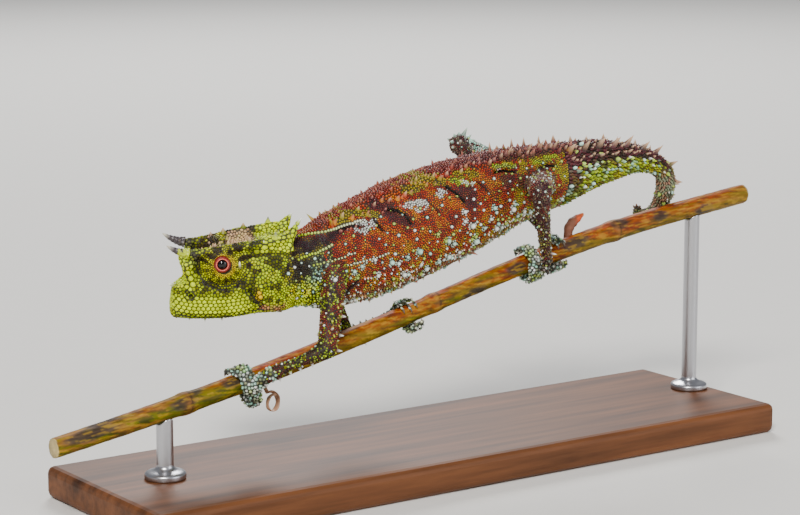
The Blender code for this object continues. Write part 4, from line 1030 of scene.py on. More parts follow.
@dataclass
class Paint:
    """The hide's markings, the painted shade in its folds and between its scales, and its folds, as
    functions of place.
    """

    animal: Animal
    pigments: Pigments = field(default_factory=Pigments)
    head_marks: tuple = (
        Mark(
            ((-1.0, 2.9), (0.0, 2.4), (1.3, 2.7), (-0.4, 3.4), (1.9, 2.1), (2.6, 1.6)), (0.46, 0.36),
            "umber", 0.95, 0.6,
        ),
        Mark(((-1.4, 1.7), (-2.1, 0.95), (-2.8, 0.4), (-1.9, 1.9)), (0.5, 0.32), "umber", 0.95, 0.6),
        Mark(
            ((1.8, -0.85), (1.2, -1.3), (0.3, -0.7), (-0.3, -0.85), (-0.9, -1.05), (-1.5, -1.7)),
            (0.3, 0.42), "umber", 0.8,
        ),
        # Painted shade in the hollow between the eye turret and the ridge before the eye.
        Mark(((3.2, 1.3), (3.05, 0.6), (3.0, -0.1), (2.75, -1.0), (3.4, -1.75)), (0.26, 0.5), "umber", 0.85),
        Mark(((2.4, 2.3), (3.0, 1.9)), (0.5, 0.3), "umber", 0.75),
        # Painted shade along the groove behind the eye, in this mark and the next.
        Mark(((-2.8, 1.95), (-3.6, 2.1), (-4.4, 2.25)), (0.6, 0.22), "umber", 0.9),
        Mark(((-5.4, 2.15), (-6.4, 2.0)), (0.8, 0.2), "umber", 0.75),
        Mark(((3.9, 2.9), (4.2, 2.4), (3.7, 2.2), (3.55, 1.5)), (0.42, 0.5), "slate", 0.95),
        # Painted shade under the ridge before the eye.
        Mark(((3.6, 0.7), (3.45, 0.2)), (0.22, 0.3), "soot", 0.9),
        Mark(((5.2, -2.15), (4.6, -2.0)), (0.34, 0.26), "umber", 0.85),
        # Painted shade in the nostril.
        Mark(((3.85, -2.6),), (0.24, 0.2), "soot", 1.0),
        # Painted shade along the fold behind the corner of the mouth.
        Mark(
            ((-2.1, -1.8), (-2.35, -2.2), (-2.6, -2.6), (-2.9, -3.1), (-3.4, -3.6)), (0.26, 0.32), "soot",
            1.0,
        ),
        Mark(((-3.2, -2.3),), (0.36, 0.55), "yellow", 1.0),
        Mark(((-5.0, -3.9), (-6.2, -3.7), (-4.0, -3.8)), (0.7, 0.4), "rose", 0.8),
        Mark(((-2.6, 3.5), (-3.2, 3.6), (-2.3, 3.8)), (0.4, 0.35), "soot", 0.9),
    )
    body_marks: tuple = (
        Mark(
            ((-3.05, 32.4), (-4.2, 31.9), (-1.8, 32.8), (2.2, 32.8), (3.9, 32.9), (-0.2, 32.4)), (1.1, 0.6),
            "olive", 0.85, 0.9,
        ),
        Mark(((-10.3, 29.9), (-9.2, 29.6), (-11.5, 29.7), (-12.8, 29.2)), (1.0, 0.45), "olive", 0.9, 0.8),
        Mark(
            ((-6.6, 29.2), (-5.8, 28.8), (-7.4, 29.8), (-8.6, 30.6), (-7.2, 30.4)), (0.95, 0.7), "plum",
            0.85, 0.5,
        ),
        Mark(
            ((2.4, 31.0), (3.0, 30.2), (8.6, 31.8), (10.6, 31.6), (12.6, 31.8)), (1.2, 0.9), "plum", 0.8, 0.7
        ),
        Mark(
            ((-18.3, 27.0), (-17.3, 26.9), (-16.3, 27.0), (-15.3, 27.3), (-14.4, 27.6)), (0.85, 0.72),
            "dusk", 1.0,
        ),
        Mark(((-13.6, 28.0), (-12.6, 28.25), (-11.6, 28.45), (-11.0, 28.5)), (0.8, 0.26), "dusk", 1.0),
        Mark(
            ((-18.9, 25.0), (-18.6, 24.2), (-17.9, 24.7), (-18.7, 23.4), (-17.3, 23.9)), (0.6, 0.55),
            "umber", 0.9, 0.3,
        ),
        # Painted shade along the fold of the shoulder.
        Mark(((-11.7, 22.2), (-12.6, 21.3)), (0.7, 0.4), "soot", 0.8),
        Mark(((-10.0, 28.4), (-9.4, 28.7), (-10.8, 28.0), (-10.4, 28.9)), (0.62, 0.36), "pearl", 0.95, 1.1),
        Mark(((-4.8, 30.3), (-3.8, 30.4), (-2.9, 30.3), (-3.6, 29.8)), (0.62, 0.42), "pearl", 0.95, 1.1),
        Mark(((-0.8, 31.1), (-0.4, 31.4)), (0.42, 0.4), "pearl", 0.9, 1.0),
        Mark(((1.6, 32.4), (3.2, 32.05), (2.4, 32.2)), (0.7, 0.34), "leaf", 0.95, 1.0),
        Mark(
            ((2.9, 32.1), (3.5, 32.0), (7.6, 33.4), (8.8, 33.45), (9.8, 33.3)), (0.5, 0.26), "pearl", 0.7,
            1.0,
        ),
        Mark(
            ((7.4, 33.5), (8.6, 33.55), (9.6, 33.4), (13.6, 33.5), (15.0, 33.8), (16.2, 33.9)), (0.8, 0.26),
            "leaf", 0.9, 0.5,
        ),
    )
    # Folds of the flank: a path, a depth and a width; folds() presses them in and torso_tint() darkens them
    # as painted shade.
    slits: tuple = (
        (((-9.1, 29.0), (-8.75, 28.4), (-8.3, 27.75)), 0.42, 0.2),
        (((-7.2, 29.9), (-6.2, 29.75), (-5.4, 29.2), (-4.75, 28.2)), 0.5, 0.22),
        (((-2.5, 30.6), (-1.9, 30.0), (-1.2, 29.1)), 0.3, 0.13),
        (((0.5, 31.8), (1.4, 31.1), (2.4, 30.0)), 0.48, 0.2),
        (((4.4, 32.1), (5.3, 31.4), (6.3, 30.3)), 0.32, 0.14),
        (((7.1, 32.85), (8.4, 32.95), (9.9, 32.65)), 0.5, 0.2),
        (((13.7, 32.75), (14.8, 32.95), (16.1, 32.85)), 0.5, 0.22),
        (((-13.4, 28.1), (-12.2, 28.4), (-10.9, 28.55)), 0.34, 0.18),
        (((-11.2, 22.9), (-11.8, 22.1), (-12.5, 21.3), (-13.4, 20.8)), 0.34, 0.18),
    )
    swells: tuple = (
        (-6.4, 28.9, 1.3, 0.9, 0.32), (-9.9, 28.4, 0.9, 0.5, 0.16), (-3.6, 30.3, 1.2, 0.55, 0.22),
        (-0.6, 30.6, 1.0, 0.8, 0.18), (3.2, 31.6, 1.2, 0.8, 0.24), (8.5, 33.4, 1.5, 0.34, 0.34),
        (14.9, 33.6, 1.6, 0.36, 0.36), (9.0, 31.4, 1.6, 1.0, 0.16), (-12.4, 26.6, 2.0, 1.0, 0.12),
        (-2.0, 27.6, 1.6, 1.6, 0.14), (4.5, 28.4, 1.7, 1.6, 0.14),
    )
    dorsum: Track = Track(
        (
            (-18.0, 28.3), (-15.9, 28.5), (-12.6, 29.6), (-9.8, 30.7), (-6.1, 31.8), (-2.4, 32.9),
            (5.1, 33.7), (10.5, 33.95), (17.0, 34.2), (22.0, 34.4),
        )
    )
    bead_rows: tuple = (
        ((-18.2, 27.7), (-16.3, 27.98), (-14.1, 28.3), (-12.2, 28.7), (-10.5, 29.1)),
        ((-18.3, 25.5), (-17.6, 25.75), (-16.2, 26.0), (-14.4, 26.8)),
        ((-16.7, 24.7), (-14.6, 25.1), (-11.8, 25.75)),
        ((-12.9, 24.45), (-9.2, 25.0), (-7.6, 25.35)),
    )
    great_beads: tuple = (
        (-3.7, 25.1, 0.78), (-7.2, 24.2, 0.66), (0.2, 25.9, 0.66), (0.9, 23.95, 0.7), (4.5, 25.4, 0.92),
        (3.3, 27.3, 0.7), (-2.0, 22.9, 0.66), (-5.2, 22.6, 0.66), (-10.6, 24.9, 0.5), (-15.0, 23.2, 0.56),
        (7.2, 26.6, 0.66), (9.2, 28.6, 0.72), (6.4, 29.0, 0.56), (-0.6, 23.6, 0.56), (11.4, 29.9, 0.6),
        (2.2, 29.0, 0.5), (-8.9, 22.9, 0.54), (-12.0, 23.7, 0.5),
    )

    def marked(self, base: Array, places: Array, marks: Sequence[Mark], grain: Array) -> Array:
        """The base colours with each mark laid over them, its edge broken by the grain."""
        for mark in marks:
            cover = np.zeros(len(base))
            for centre in mark.places:
                cover = np.maximum(cover, spot(places, centre, mark.radius))
            if mark.ragged:
                cover = ramp(cover + grain * mark.ragged * (cover > 0.05), 0.3, 0.6)
            base = blend(base, getattr(self.pigments, mark.pigment), cover * mark.strength)
        return base

    def head_tint(self, points: Array) -> Array:
        """The colour of the head's scales."""
        p = self.pigments
        local = self.animal.head.local(points)
        forward, out, up = local[:, 0], np.abs(local[:, 1]), local[:, 2]
        speckle = cloud(points, 2.1)
        patch = cloud(points, 0.6, 7.0)
        tint = blend(p.lime, p.lime_olive, ramp(patch + 0.5 * speckle, -0.1, 0.6) * 0.8)
        bright = ramp(forward, 3.2, 3.8) * ramp(up, -2.2, -1.6) * fall(up, 1.5, 2.0)
        bright = np.maximum(bright, ramp(-forward, 3.0, 3.6) * ramp(up, 2.1, 2.5))
        bright = np.maximum(bright, ramp(up, -4.5, -4.2) * fall(up, -2.9, -2.5) * ramp(forward, -2.6, -2.0))
        tint = blend(tint, p.lime_bright, bright * 0.9)
        eye_off = np.hypot(forward - self.animal.head.eye_place[0], up - self.animal.head.eye_place[2])
        round_eye = np.exp(-((eye_off / 2.4) ** 4))
        rays = np.sin(np.arctan2(up - 1.1, forward - 0.6) * 14.0 + speckle * 1.6) * 0.5 + 0.5
        rays = ramp(rays * ramp(eye_off, 1.0, 1.4) + 0.25 * patch, 0.52, 0.66)
        tint = blend(tint, blend(p.lime, p.yellow, 0.35), round_eye * 0.8)
        tint = blend(tint, p.soot, round_eye * rays * 0.9)
        # Painted shade: a dark line in the outer fold round the lower side of the eye.
        crease_painted_shade = bell(eye_off, 2.85, 0.14) * ramp(-up, 0.2, 1.0) * ramp(forward, -2.4, -1.6)
        tint = blend(tint, p.soot, crease_painted_shade * fall(forward, 2.6, 3.2))
        tint = blend(tint, p.yellow, bell(eye_off, 1.05, 0.2) * 0.7)
        blot = ramp(cloud(points, 1.15, 12.0) + 0.35 * speckle, 0.06, 0.24)
        calm = np.maximum(bright, ramp(-up, 1.9, 2.6) * ramp(forward, -2.4, -1.8))
        tint = blend(tint, p.umber, blot * (0.8 - 0.62 * calm) * (1 - 0.7 * round_eye))
        tint = self.marked(tint, np.column_stack([forward, up]), self.head_marks, speckle)
        crown = ramp(self.crown_share(local), 0.5, 0.9)
        pink = crown * ramp(forward, -3.4, -2.8) * fall(forward, -0.7, 0.1) * ramp(1.2 - patch, 0.2, 1.4)
        # Darker umber mottling on the crown between the brow crests, ahead of the eyes.
        crown_hollow_dark = (
            crown * ramp(forward, -0.2, 0.4) * fall(forward, 2.4, 3.0)
            * ramp(speckle + 0.6 * patch, 0.0, 0.2)
        )
        tint = blend(tint, p.umber, crown_hollow_dark * 0.85)
        tint = blend(tint, p.blush, pink * 0.85)
        band = (
            crown * ramp(-forward, 2.3, 3.0) * fall(-forward, 6.4, 7.2)
            * ramp(speckle + 0.5 * patch, -0.3, 0.2)
        )
        tint = blend(tint, p.soot, band * (1 - ramp(-forward, 3.6, 4.4) * ramp(out, 1.2, 2.2)) * 0.85)
        chin = fall(up, -5.0, -4.5)
        tint = blend(tint, p.lime_olive, chin * 0.7)
        return blend(tint, p.umber, chin * ramp(speckle, 0.1, 0.5) * 0.6)

    def crown_share(self, local: Array) -> Array:
        """1 on the top of the head, inside its crests, and 0 on its sides."""
        head = self.animal.head
        inside = 1 - ramp(np.abs(local[:, 1]) - head.crest_out.at(local[:, 0]), -0.5, 0.15)
        return inside * ramp(local[:, 2] - head.top.at(local[:, 0]), -0.8, -0.3)

    def neck_tint(self, points: Array) -> Array:
        """The colour of the neck's granules."""
        p = self.pigments
        speckle, patch = cloud(points, 2.4), cloud(points, 0.9, 3.0)
        x, z = points[:, 0], points[:, 2]
        tint = blend(p.umber, p.olive, ramp(speckle + patch, -0.2, 0.5))
        gular = fall(z, 22.4, 23.6) * fall(x, -15.6, -14.4)
        throat = blend(p.lime_bright, p.yellow, ramp(patch, 0, 0.4) * 0.5)
        tint = blend(tint, blend(throat, p.umber, ramp(speckle, 0.16, 0.3) * 0.4), gular)
        beads = spot(np.column_stack([x, z]), (-15.6, 23.6), (1.4, 1.6)) * ramp(speckle, -0.4, 0.1)
        tint = blend(tint, p.mint, beads * 0.85)
        tint = blend(tint, p.brick, ramp(z, 26.8, 28.2) * 0.7)
        tint = blend(tint, p.maroon, ramp(z - self.dorsum.at(x), -0.2, 0.3) * 0.9)
        return self.marked(tint, points[:, [0, 2]], self.body_marks, speckle)

    def torso_tint(self, points: Array) -> Array:
        """The colour of the torso's granules."""
        p = self.pigments
        height = self.animal.torso.height(points)
        x = points[:, 0]
        speckle, patch, broad = cloud(points, 2.6), cloud(points, 0.75, 5.0), cloud(points, 0.28, 9.0)
        fine = cloud(points, 5.5, 2.0)
        tint = blend(p.brick, p.rust, ramp(patch + 0.7 * speckle + 0.4 * fine, -0.1, 0.4))
        tint = blend(tint, p.maroon, ramp(-patch + 0.7 * fine, 0.1, 0.4) * 0.85)
        tint = blend(tint, p.yellow * 0.8, ramp(fine + 0.5 * patch, 0.22, 0.4) * 0.4)
        rear = ramp(x, 4.0, 13.0)
        low = fall(height, 0.2, 0.62)
        tint = blend(
            tint, p.olive, np.clip(low * 0.4 + rear * 0.6, 0, 0.85) * ramp(speckle + patch, -0.25, 0.3)
        )
        tint = blend(tint, p.leaf * 0.8, rear * ramp(fine + patch, 0.05, 0.3) * fall(x, 17.0, 19.0) * 0.6)
        tint = blend(tint, p.rust, low * ramp(fine, 0.0, 0.3) * 0.5)
        tint = blend(tint, p.haze, fall(height, 0.02, 0.2) * 0.6)
        tint = blend(tint, p.leaf, low * ramp(fine + 0.4 * patch, 0.25, 0.45) * 0.6)
        back = ramp(points[:, 2] - self.dorsum.at(x) + 0.5 * speckle, -0.35, 0.3)
        dorsal = blend(p.maroon, p.plum, ramp(x + 5 * broad, -8.0, 6.0))
        dorsal = blend(dorsal, p.rust, ramp(fine, 0.1, 0.4) * fall(x, -4, 6) * 0.5)
        tint = blend(tint, dorsal, back * 0.92)
        tint = blend(tint, p.rose, ramp(height, 0.96, 1.0) * ramp(fine, -0.1, 0.25) * 0.6)
        flat = points[:, [0, 2]]
        tint = self.marked(tint, flat, self.body_marks, speckle)
        # Painted shade darkening each fold of the flank that folds() presses in.
        for path, deep, wide in self.slits:
            dark = furrow(flat, path, wide * 1.1)
            tint = blend(tint, p.soot, ramp(dark, 0.3, 0.7) * min(1.0, deep * 2.2))
        return tint

    def tail_tint(self, points: Array, normals: Array) -> Array:
        """The colour of the tail's flakes."""
        p = self.pigments
        speckle, patch = cloud(points, 1.9), cloud(points, 0.6, 4.0)
        x, z = points[:, 0], points[:, 2]
        flank = blend(p.leaf * 0.75, p.lime_olive * 0.8, ramp(patch + 0.5 * speckle, -0.1, 0.4))
        flank = blend(flank, p.yellow * 0.7, ramp(-patch + speckle, 0.2, 0.5) * 0.5)
        flank = blend(flank, p.umber, ramp(speckle - 0.4 * patch, 0.16, 0.3) * 0.7)
        flank = blend(flank, p.mint * 0.8, ramp(-speckle, 0.2, 0.4) * 0.7)
        top = ramp(normals[:, 2] + 0.35 * speckle, -0.12, 0.14) * fall(x, 34.5, 36.0)
        tint = blend(flank, blend(p.plum, p.umber, ramp(speckle, -0.2, 0.3)), top)
        hip = fall(x, 18.6, 20.6) * ramp(z, 28.5, 30.5)
        tint = blend(tint, p.plum, hip * 0.8)
        drop = ramp(31.2 - z, 0.0, 1.6) * ramp(x, 31.0, 33.0)
        grey = blend(p.haze, p.rose, ramp(speckle, -0.1, 0.3) * 0.6)
        grey = blend(grey, p.slate, ramp(-patch, 0.0, 0.3) * 0.6)
        return blend(tint, grey, drop * 0.95)

    def limb_tint(self, points: Array, regions: Array) -> Array:
        """The colour of the limbs' and feet's beads."""
        p = self.pigments
        speckle, patch, fine = cloud(points, 2.8), cloud(points, 0.8, 6.0), cloud(points, 6.0, 1.0)
        arm = blend(p.maroon, p.umber, ramp(patch, -0.2, 0.3))
        arm = blend(arm, p.olive, ramp(speckle + fine, 0.15, 0.5) * 0.8)
        arm = blend(arm, p.umber, fall(points[:, 2], 15.4, 17.2) * 0.6)
        arm = blend(arm, p.leaf * 0.9, ramp(fine + 0.5 * patch, 0.16, 0.34) * 0.8)
        leg = blend(p.plum, p.maroon, ramp(patch, 0.0, 0.4))
        leg = blend(leg, p.blush * 0.45, ramp(fine + 0.4 * speckle, 0.05, 0.3) * 0.75)
        leg = blend(leg, p.haze, ramp(speckle, 0.1, 0.4) * 0.5)
        leg = blend(leg, p.olive, fall(points[:, 2], 24.5, 30.5) * ramp(fine, 0.0, 0.3) * 0.6)
        frosted = (
            ramp(points[:, 1], 3.0, 4.0) * ramp(points[:, 0], 10.6, 11.6) * ramp(points[:, 2], 30.5, 31.5)
        )
        leg = blend(
            leg, blend(p.mint, p.pearl, ramp(fine, 0, 0.3)), frosted * ramp(speckle, -0.35, 0.0) * 0.9
        )
        foot = blend(p.haze, p.mint, ramp(speckle + fine, -0.25, 0.15) * 0.85)
        foot = blend(foot, p.pearl, ramp(fine, -0.05, 0.2) * 0.85)
        foot = blend(foot, p.leaf * 1.2, ramp(patch, 0.0, 0.3) * 0.55)
        foot = blend(foot, p.umber, ramp(-speckle, 0.2, 0.4) * 0.6)
        is_arm = np.isin(regions, ARMS)
        is_leg = np.isin(regions, LEGS)
        tint = np.where(is_arm[:, None], arm, np.where(is_leg[:, None], leg, foot))
        heel = regions >= Region.FOOT_LEFT
        return blend(tint, p.plum, heel * ramp(np.abs(points[:, 1]), 2.6, 3.4) * 0.75)

    def scales(self, points: Array, normals: Array, regions: Array) -> Array:
        """The colour that a scale at each point has."""
        tint = np.zeros((len(points), 3))
        for region, colour in (
            (Region.HEAD, self.head_tint), (Region.NECK, self.neck_tint), (Region.TORSO, self.torso_tint)
        ):
            chosen = regions == region
            if chosen.any():
                tint[chosen] = colour(points[chosen])
        tail, limbs = regions == Region.TAIL, regions > Region.TAIL
        if tail.any():
            tint[tail] = self.tail_tint(points[tail], normals[tail])
        if limbs.any():
            tint[limbs] = self.limb_tint(points[limbs], regions[limbs])
        local = self.animal.head.local(points)
        rear = (regions == Region.HEAD) & (local[:, 0] < -4.8) & (local[:, 2] < 2.2)
        if rear.any():
            edge = 6.5 - 0.9 * bell(local[rear, 2], -0.4, 1.2) - 0.3 * ramp(-local[rear, 2], 2.0, 3.0)
            share = ramp(-local[rear, 0] + 0.9 * cloud(points[rear], 1.3), edge - 0.4, edge + 0.3)
            tint[rear] = blend(tint[rear], self.neck_tint(points[rear]), share)
        return tint

    def skin(self, points: Array, normals: Array, regions: Array) -> Array:
        """The colour of the skin between the scales: the scales' colour made much darker and browner, partly
        the skin's own darker tone and partly painted shade in the gaps.
        """
        tint = self.scales(points, normals, regions)
        # Painted shade for the gaps between the scales, over the skin's own darker tone.
        return tint * 0.06 + self.pigments.umber * 0.15

    def folds(self, points: Array, regions: Array) -> Array:
        """How deep each point of the skin is pressed in, in mm."""
        head = self.animal.head
        local = head.local(points)
        local[:, 1] = np.abs(local[:, 1])
        on_head = (regions == Region.HEAD).astype(float)
        depth = np.zeros(len(points))

        def groove(path: Sequence, deep: float, wide: float) -> Array:
            return deep * furrow(local, path, wide) * on_head

        lip = [
            (
                x, float(head.lip_out.at(x)) - 0.1, float(head.mouth_up.at(x))
            ) for x in np.linspace(5.9, -3.6, 24)
        ]
        depth += groove(lip, 0.22, 0.16)
        depth += groove(
            ((-3.6, 3.2, -3.85), (-3.3, 3.4, -3.3), (-2.7, 3.4, -2.6), (-2.1, 3.3, -1.9)), 0.34, 0.2
        )
        eye = np.array(head.eye_place)
        off = np.hypot(local[:, 0] - eye[0], local[:, 2] - eye[2])
        angle = np.degrees(np.arctan2(local[:, 2] - eye[2], local[:, 0] - eye[0]))
        near_side = on_head * ramp(local[:, 1], 1.6, 2.2)
        depth += 0.55 * fall(off, 0.45, 0.85) * near_side
        for radius, deep in ((1.35, 0.05), (1.8, 0.07), (2.3, 0.12), (2.75, 0.2)):
            lower = 0.45 + 0.55 * ramp(-angle, 10.0, 50.0) * fall(-angle, 140.0, 175.0)
            depth += deep * bell(off, radius, 0.12) * near_side * lower
        depth += 0.3 * spot(local, (3.0, 2.2, 0.3), (0.5, 1.0, 1.3)) * on_head
        depth += 0.5 * spot(local, head.nostril, (0.26, 0.8, 0.24)) * on_head
        depth -= 0.12 * bell(np.linalg.norm(local - head.nostril, axis=1), 0.5, 0.16) * on_head
        depth += groove(((-1.5, 3.3, 1.5), (-4.1, 3.4, 2.2), (-6.7, 3.2, 1.95)), 0.16, 0.22)
        depth += groove(((-6.6, 3.3, 1.2), (-6.3, 3.5, -0.6), (-6.5, 3.4, -2.2)), 0.14, 0.25)
        on_body = np.isin(regions, TRUNK).astype(float)
        flat = np.column_stack([points[:, 0], points[:, 2]])
        for i, start in enumerate((-18.4, -17.6, -16.8, -16.0)):
            path = ((start, 26.2), (start + 0.25, 24.2), (start + 0.9, 22.0), (start + 1.7, 20.4))
            depth += (0.16 - 0.02 * i) * furrow(flat, path, 0.17) * on_body
        flank = on_body * ramp(np.abs(points[:, 1]), 0.9, 1.6)
        for path, deep, wide in self.slits:
            depth += deep * furrow(flat, path, wide) * flank
        for x, z, long, high, lift in self.swells:
            depth -= lift * spot(flat, (x, z), (long, high)) * flank
        for x in np.arange(-8.0, 13.0, 3.6):
            rib = ((x + 0.4, 27.6 + 0.3 * x), (x + 1.6, 25.2 + 0.3 * x), (x + 2.2, 22.6 + 0.3 * x))
            depth += 0.12 * furrow(flat, rib, 0.5) * flank
        return depth - 0.16 * cloud(points, 0.8, 4.0) * on_body


# Scales
@dataclass
class Seeds:
    """Places of scales on the skin, with the size, height and kind of each."""

    place: Array
    normal: Array
    size: Array
    rise: Array
    lean: Array
    rounded: Array
    region: Array
    tint: Array

    def pick(self, chosen: Array) -> "Seeds":
        """The chosen seeds alone."""
        return Seeds(*(getattr(self, name)[chosen] for name in self.__dataclass_fields__))

    @staticmethod
    def joined(groups: Sequence["Seeds"]) -> "Seeds":
        """Several groups of seeds as one."""
        names = Seeds.__dataclass_fields__
        return Seeds(*(np.concatenate([getattr(group, name) for group in groups]) for name in names))


@dataclass
class Coat:
    """The scales, beads and tubercles over the whole skin."""

    animal: Animal
    skin: Skin
    paint: Paint
    rng: np.random.Generator
    groove: float = 0.022
    sink: float = 0.07
    clearance: float = 0.46
    closest: float = 0.8
    overlap: float = 0.3
    eye_bare: float = 0.86
    halo_least: float = 0.46
    halo_gap: float = 0.13
    halo_size: float = 0.24
    halo_missing: float = 0.45
    # Each profile row: a ring's share of the reach, its lift, and its shade, which darkens the ring towards
    # the scale's edge as painted shade.
    plate_profile: tuple = ((0.97, 0.5, 0.68), (0.66, 0.88, 1.0))
    bead_profile: tuple = ((0.84, 0.66, 0.68),)
    # Painted shade in the groove at each scale's foot, and a painted highlight at its tip.
    foot_shade: float = 0.05
    tip_shade: float = 1.12
    face_step: float = 0.32
    neck_step: float = 0.27
    bead_step: float = 0.235
    tail_step: float = 0.4
    foot_step: float = 0.37
    eye_rings: tuple = (
        (0.96, 0.17), (1.13, 0.18), (1.32, 0.2), (1.53, 0.22), (1.76, 0.24), (2.01, 0.26), (2.28, 0.28),
        (2.58, 0.32),
    )
    lip_rows: tuple = (
        (0.2, 0.34), (0.54, 0.38), (0.92, 0.42), (1.32, 0.42), (1.72, 0.4), (2.08, 0.38), (-0.2, 0.32),
        (-0.5, 0.32), (-0.8, 0.32),
    )
    lip_step: float = 0.5
    large_scales: tuple = (
        (-3.15, -2.0, 0.5), (-3.3, -2.5, 0.56), (-2.2, -1.3, 0.4), (-5.5, -3.3, 0.44), (-2.9, 2.5, 0.62),
        (-3.7, 2.95, 0.62), (3.95, 0.9, 0.5), (4.3, 0.2, 0.52), (4.0, -0.5, 0.56), (3.7, -1.2, 0.56),
        (4.4, -1.5, 0.5), (3.5, -0.2, 0.45),
    )

    def spacing(self, points: Array, regions: Array) -> Array:
        """How far apart the scales stand at each point, in mm."""
        head = self.animal.head
        local = head.local(points)
        forward, up = local[:, 0], local[:, 2]
        eye_off = np.hypot(forward - head.eye_place[0], up - head.eye_place[2])
        crown = self.paint.crown_share(local)
        face = self.face_step - 0.09 * np.exp(-((eye_off / 2.3) ** 4)) * (1 - crown)
        face += 0.09 * ramp(forward, 3.2, 3.8) * ramp(up, -2.2, -1.8) * fall(up, 1.6, 2.0)
        temple = ramp(-forward, 3.0, 3.8) * ramp(up, 2.2, 2.6)
        face += 0.13 * temple * (1 - 0.5 * crown)
        face -= 0.1 * fall(up, -5.1, -4.7)
        face = np.where(temple > 0.3, face, face - 0.06 * ramp(-forward, 4.6, 6.6))
        gular = fall(points[:, 2], 22.4, 23.6) * fall(points[:, 0], -15.6, -14.4)
        height = self.animal.torso.height(points)
        widths = {
            Region.HEAD: face,
            Region.NECK: self.neck_step + 0.07 * gular,
            Region.TORSO: self.bead_step + 0.07 * ramp(height, 0.86, 0.95),
            Region.TAIL: self.tail_step - 0.009 * np.clip(points[:, 0] - 22.0, 0, 12),
        }
        wide = np.where(np.isin(regions, LIMBS), self.bead_step, self.foot_step)
        for region, width in widths.items():
            wide = np.where(regions == region, width, wide)
        return wide

    def candidates(self, crowd: float = 6.0) -> tuple[Array, Array, Array, Array]:
        """Random places on the skin, closer together where the scales are small."""
        corners = self.skin.points[self.skin.triangles]
        centres = corners.mean(axis=1)
        cross = np.cross(corners[:, 1] - corners[:, 0], corners[:, 2] - corners[:, 0])
        areas, normals = np.linalg.norm(cross, axis=1) / 2, unit(cross)
        regions = self.skin.regions_of(centres)
        wide = self.spacing(centres, regions)
        wanted = areas / wide**2 * crowd
        counts = np.floor(wanted + self.rng.random(len(wanted))).astype(int)
        index = np.repeat(np.arange(len(counts)), counts)
        self.rng.shuffle(index)
        a, b = self.rng.random(len(index)), self.rng.random(len(index))
        turned = a + b > 1
        a[turned], b[turned] = 1 - a[turned], 1 - b[turned]
        first = corners[index, 0]
        places = first + a[:, None] * (corners[index, 1] - first) + b[:, None] * (corners[index, 2] - first)
        return places, normals[index], regions[index], wide[index]

    def loose(self, fixed: Seeds) -> Seeds:
        """Scattered scales that fill the skin round the fixed ones."""
        places, normals, regions, wide = self.candidates()
        tree = tree_of(places)
        free = np.ones(len(places), bool)
        for place, size in zip(fixed.place.tolist(), fixed.size.tolist()):
            for _, i, off in tree.find_range(place, size * 0.5 + 0.3):
                if off < (size + wide[i]) * self.clearance:
                    free[i] = False
        head = self.animal.head
        local = head.local(places)
        off = np.hypot(local[:, 0] - head.eye_place[0], local[:, 2] - head.eye_place[2])
        free &= ~((off < self.eye_bare) & (np.abs(local[:, 1]) > 2.0) & (regions == Region.HEAD))
        kept = []
        for i in range(len(places)):
            if not free[i]:
                continue
            kept.append(i)
            for _, j, _ in tree.find_range(places[i], wide[i] * self.closest):
                free[j] = False
        kept = np.array(kept)
        places, wide = places[kept], wide[kept]
        places = self.spread(places, wide, fixed)
        places, normals = self.skin.surface(places)
        regions = self.skin.regions_of(places)
        return self.natural(places, normals, wide, regions)

    def spread(self, places: Array, wide: Array, fixed: Seeds, rounds: int = 5, step: float = 0.22) -> Array:
        """Pushes crowded places apart and keeps them on the skin."""
        still = len(fixed.place)
        allowed = np.concatenate([fixed.size, wide])
        points = np.concatenate([fixed.place, places])
        near = self.neighbours(points, 9)
        for _ in range(rounds):
            off = points[:, None] - points[near]
            far = np.linalg.norm(off, axis=2)
            want = (allowed[:, None] + allowed[near]) * 0.5
            push = np.clip(want - far, 0.0, None) / np.maximum(far, 1e-6)
            move = (off * push[..., None]).sum(axis=1) * step
            points[still:] += move[still:]
        moved, _ = self.skin.surface(points[still:])
        return moved

    @staticmethod
    def neighbours(points: Array, count: int) -> Array:
        """The nearest other points of each point."""
        tree = tree_of(points)
        found = np.empty((len(points), count), int)
        for i, place in enumerate(points.tolist()):
            near = [j for _, j, _ in tree.find_n(place, count + 1) if j != i]
            found[i] = (near + near[:1] * count)[:count]
        return found

    def natural(self, places: Array, normals: Array, wide: Array, regions: Array) -> Seeds:
        """Seeds with the height, lean and colour usual for their region."""
        count = len(places)
        is_head = regions == Region.HEAD
        rise = np.where(is_head, 0.155 * wide**0.5, 0.42 * wide) * (0.8 + 0.4 * self.rng.random(count))
        rounded = np.where(is_head, 0.15, 0.75)
        lean = np.zeros((count, 3))
        tail = regions == Region.TAIL
        along = self.tail_way(places[tail])
        lean[tail] = along * wide[tail, None] * 0.75
        rise[tail] = wide[tail] * (0.4 + 0.45 * self.rng.random(tail.sum()))
        rounded[tail] = 0.3
        feet = regions >= Region.HAND_LEFT
        rise[feet] = wide[feet] * 0.6
        height = self.animal.torso.height(places)
        back = (regions == Region.TORSO) & (height > 0.9)
        rise[back] = wide[back] * (0.45 + 0.3 * self.rng.random(back.sum()))
        tint = self.paint.scales(places, normals, regions)
        shade = 0.72 + 0.5 * self.rng.random((count, 1))
        warm = 1.0 + (self.rng.random((count, 3)) - 0.5) * np.array([0.16, 0.12, 0.1])
        return Seeds(places, normals, wide, rise, lean, rounded, regions, tint * shade * warm)

    def tail_way(self, points: Array) -> Array:
        """The tail's direction beside each point."""
        line = self.animal.tail.samples()[:, :3]
        near = nearest(points, line)
        return unit(line[np.minimum(near + 1, len(line) - 1)] - line[np.maximum(near - 1, 0)])

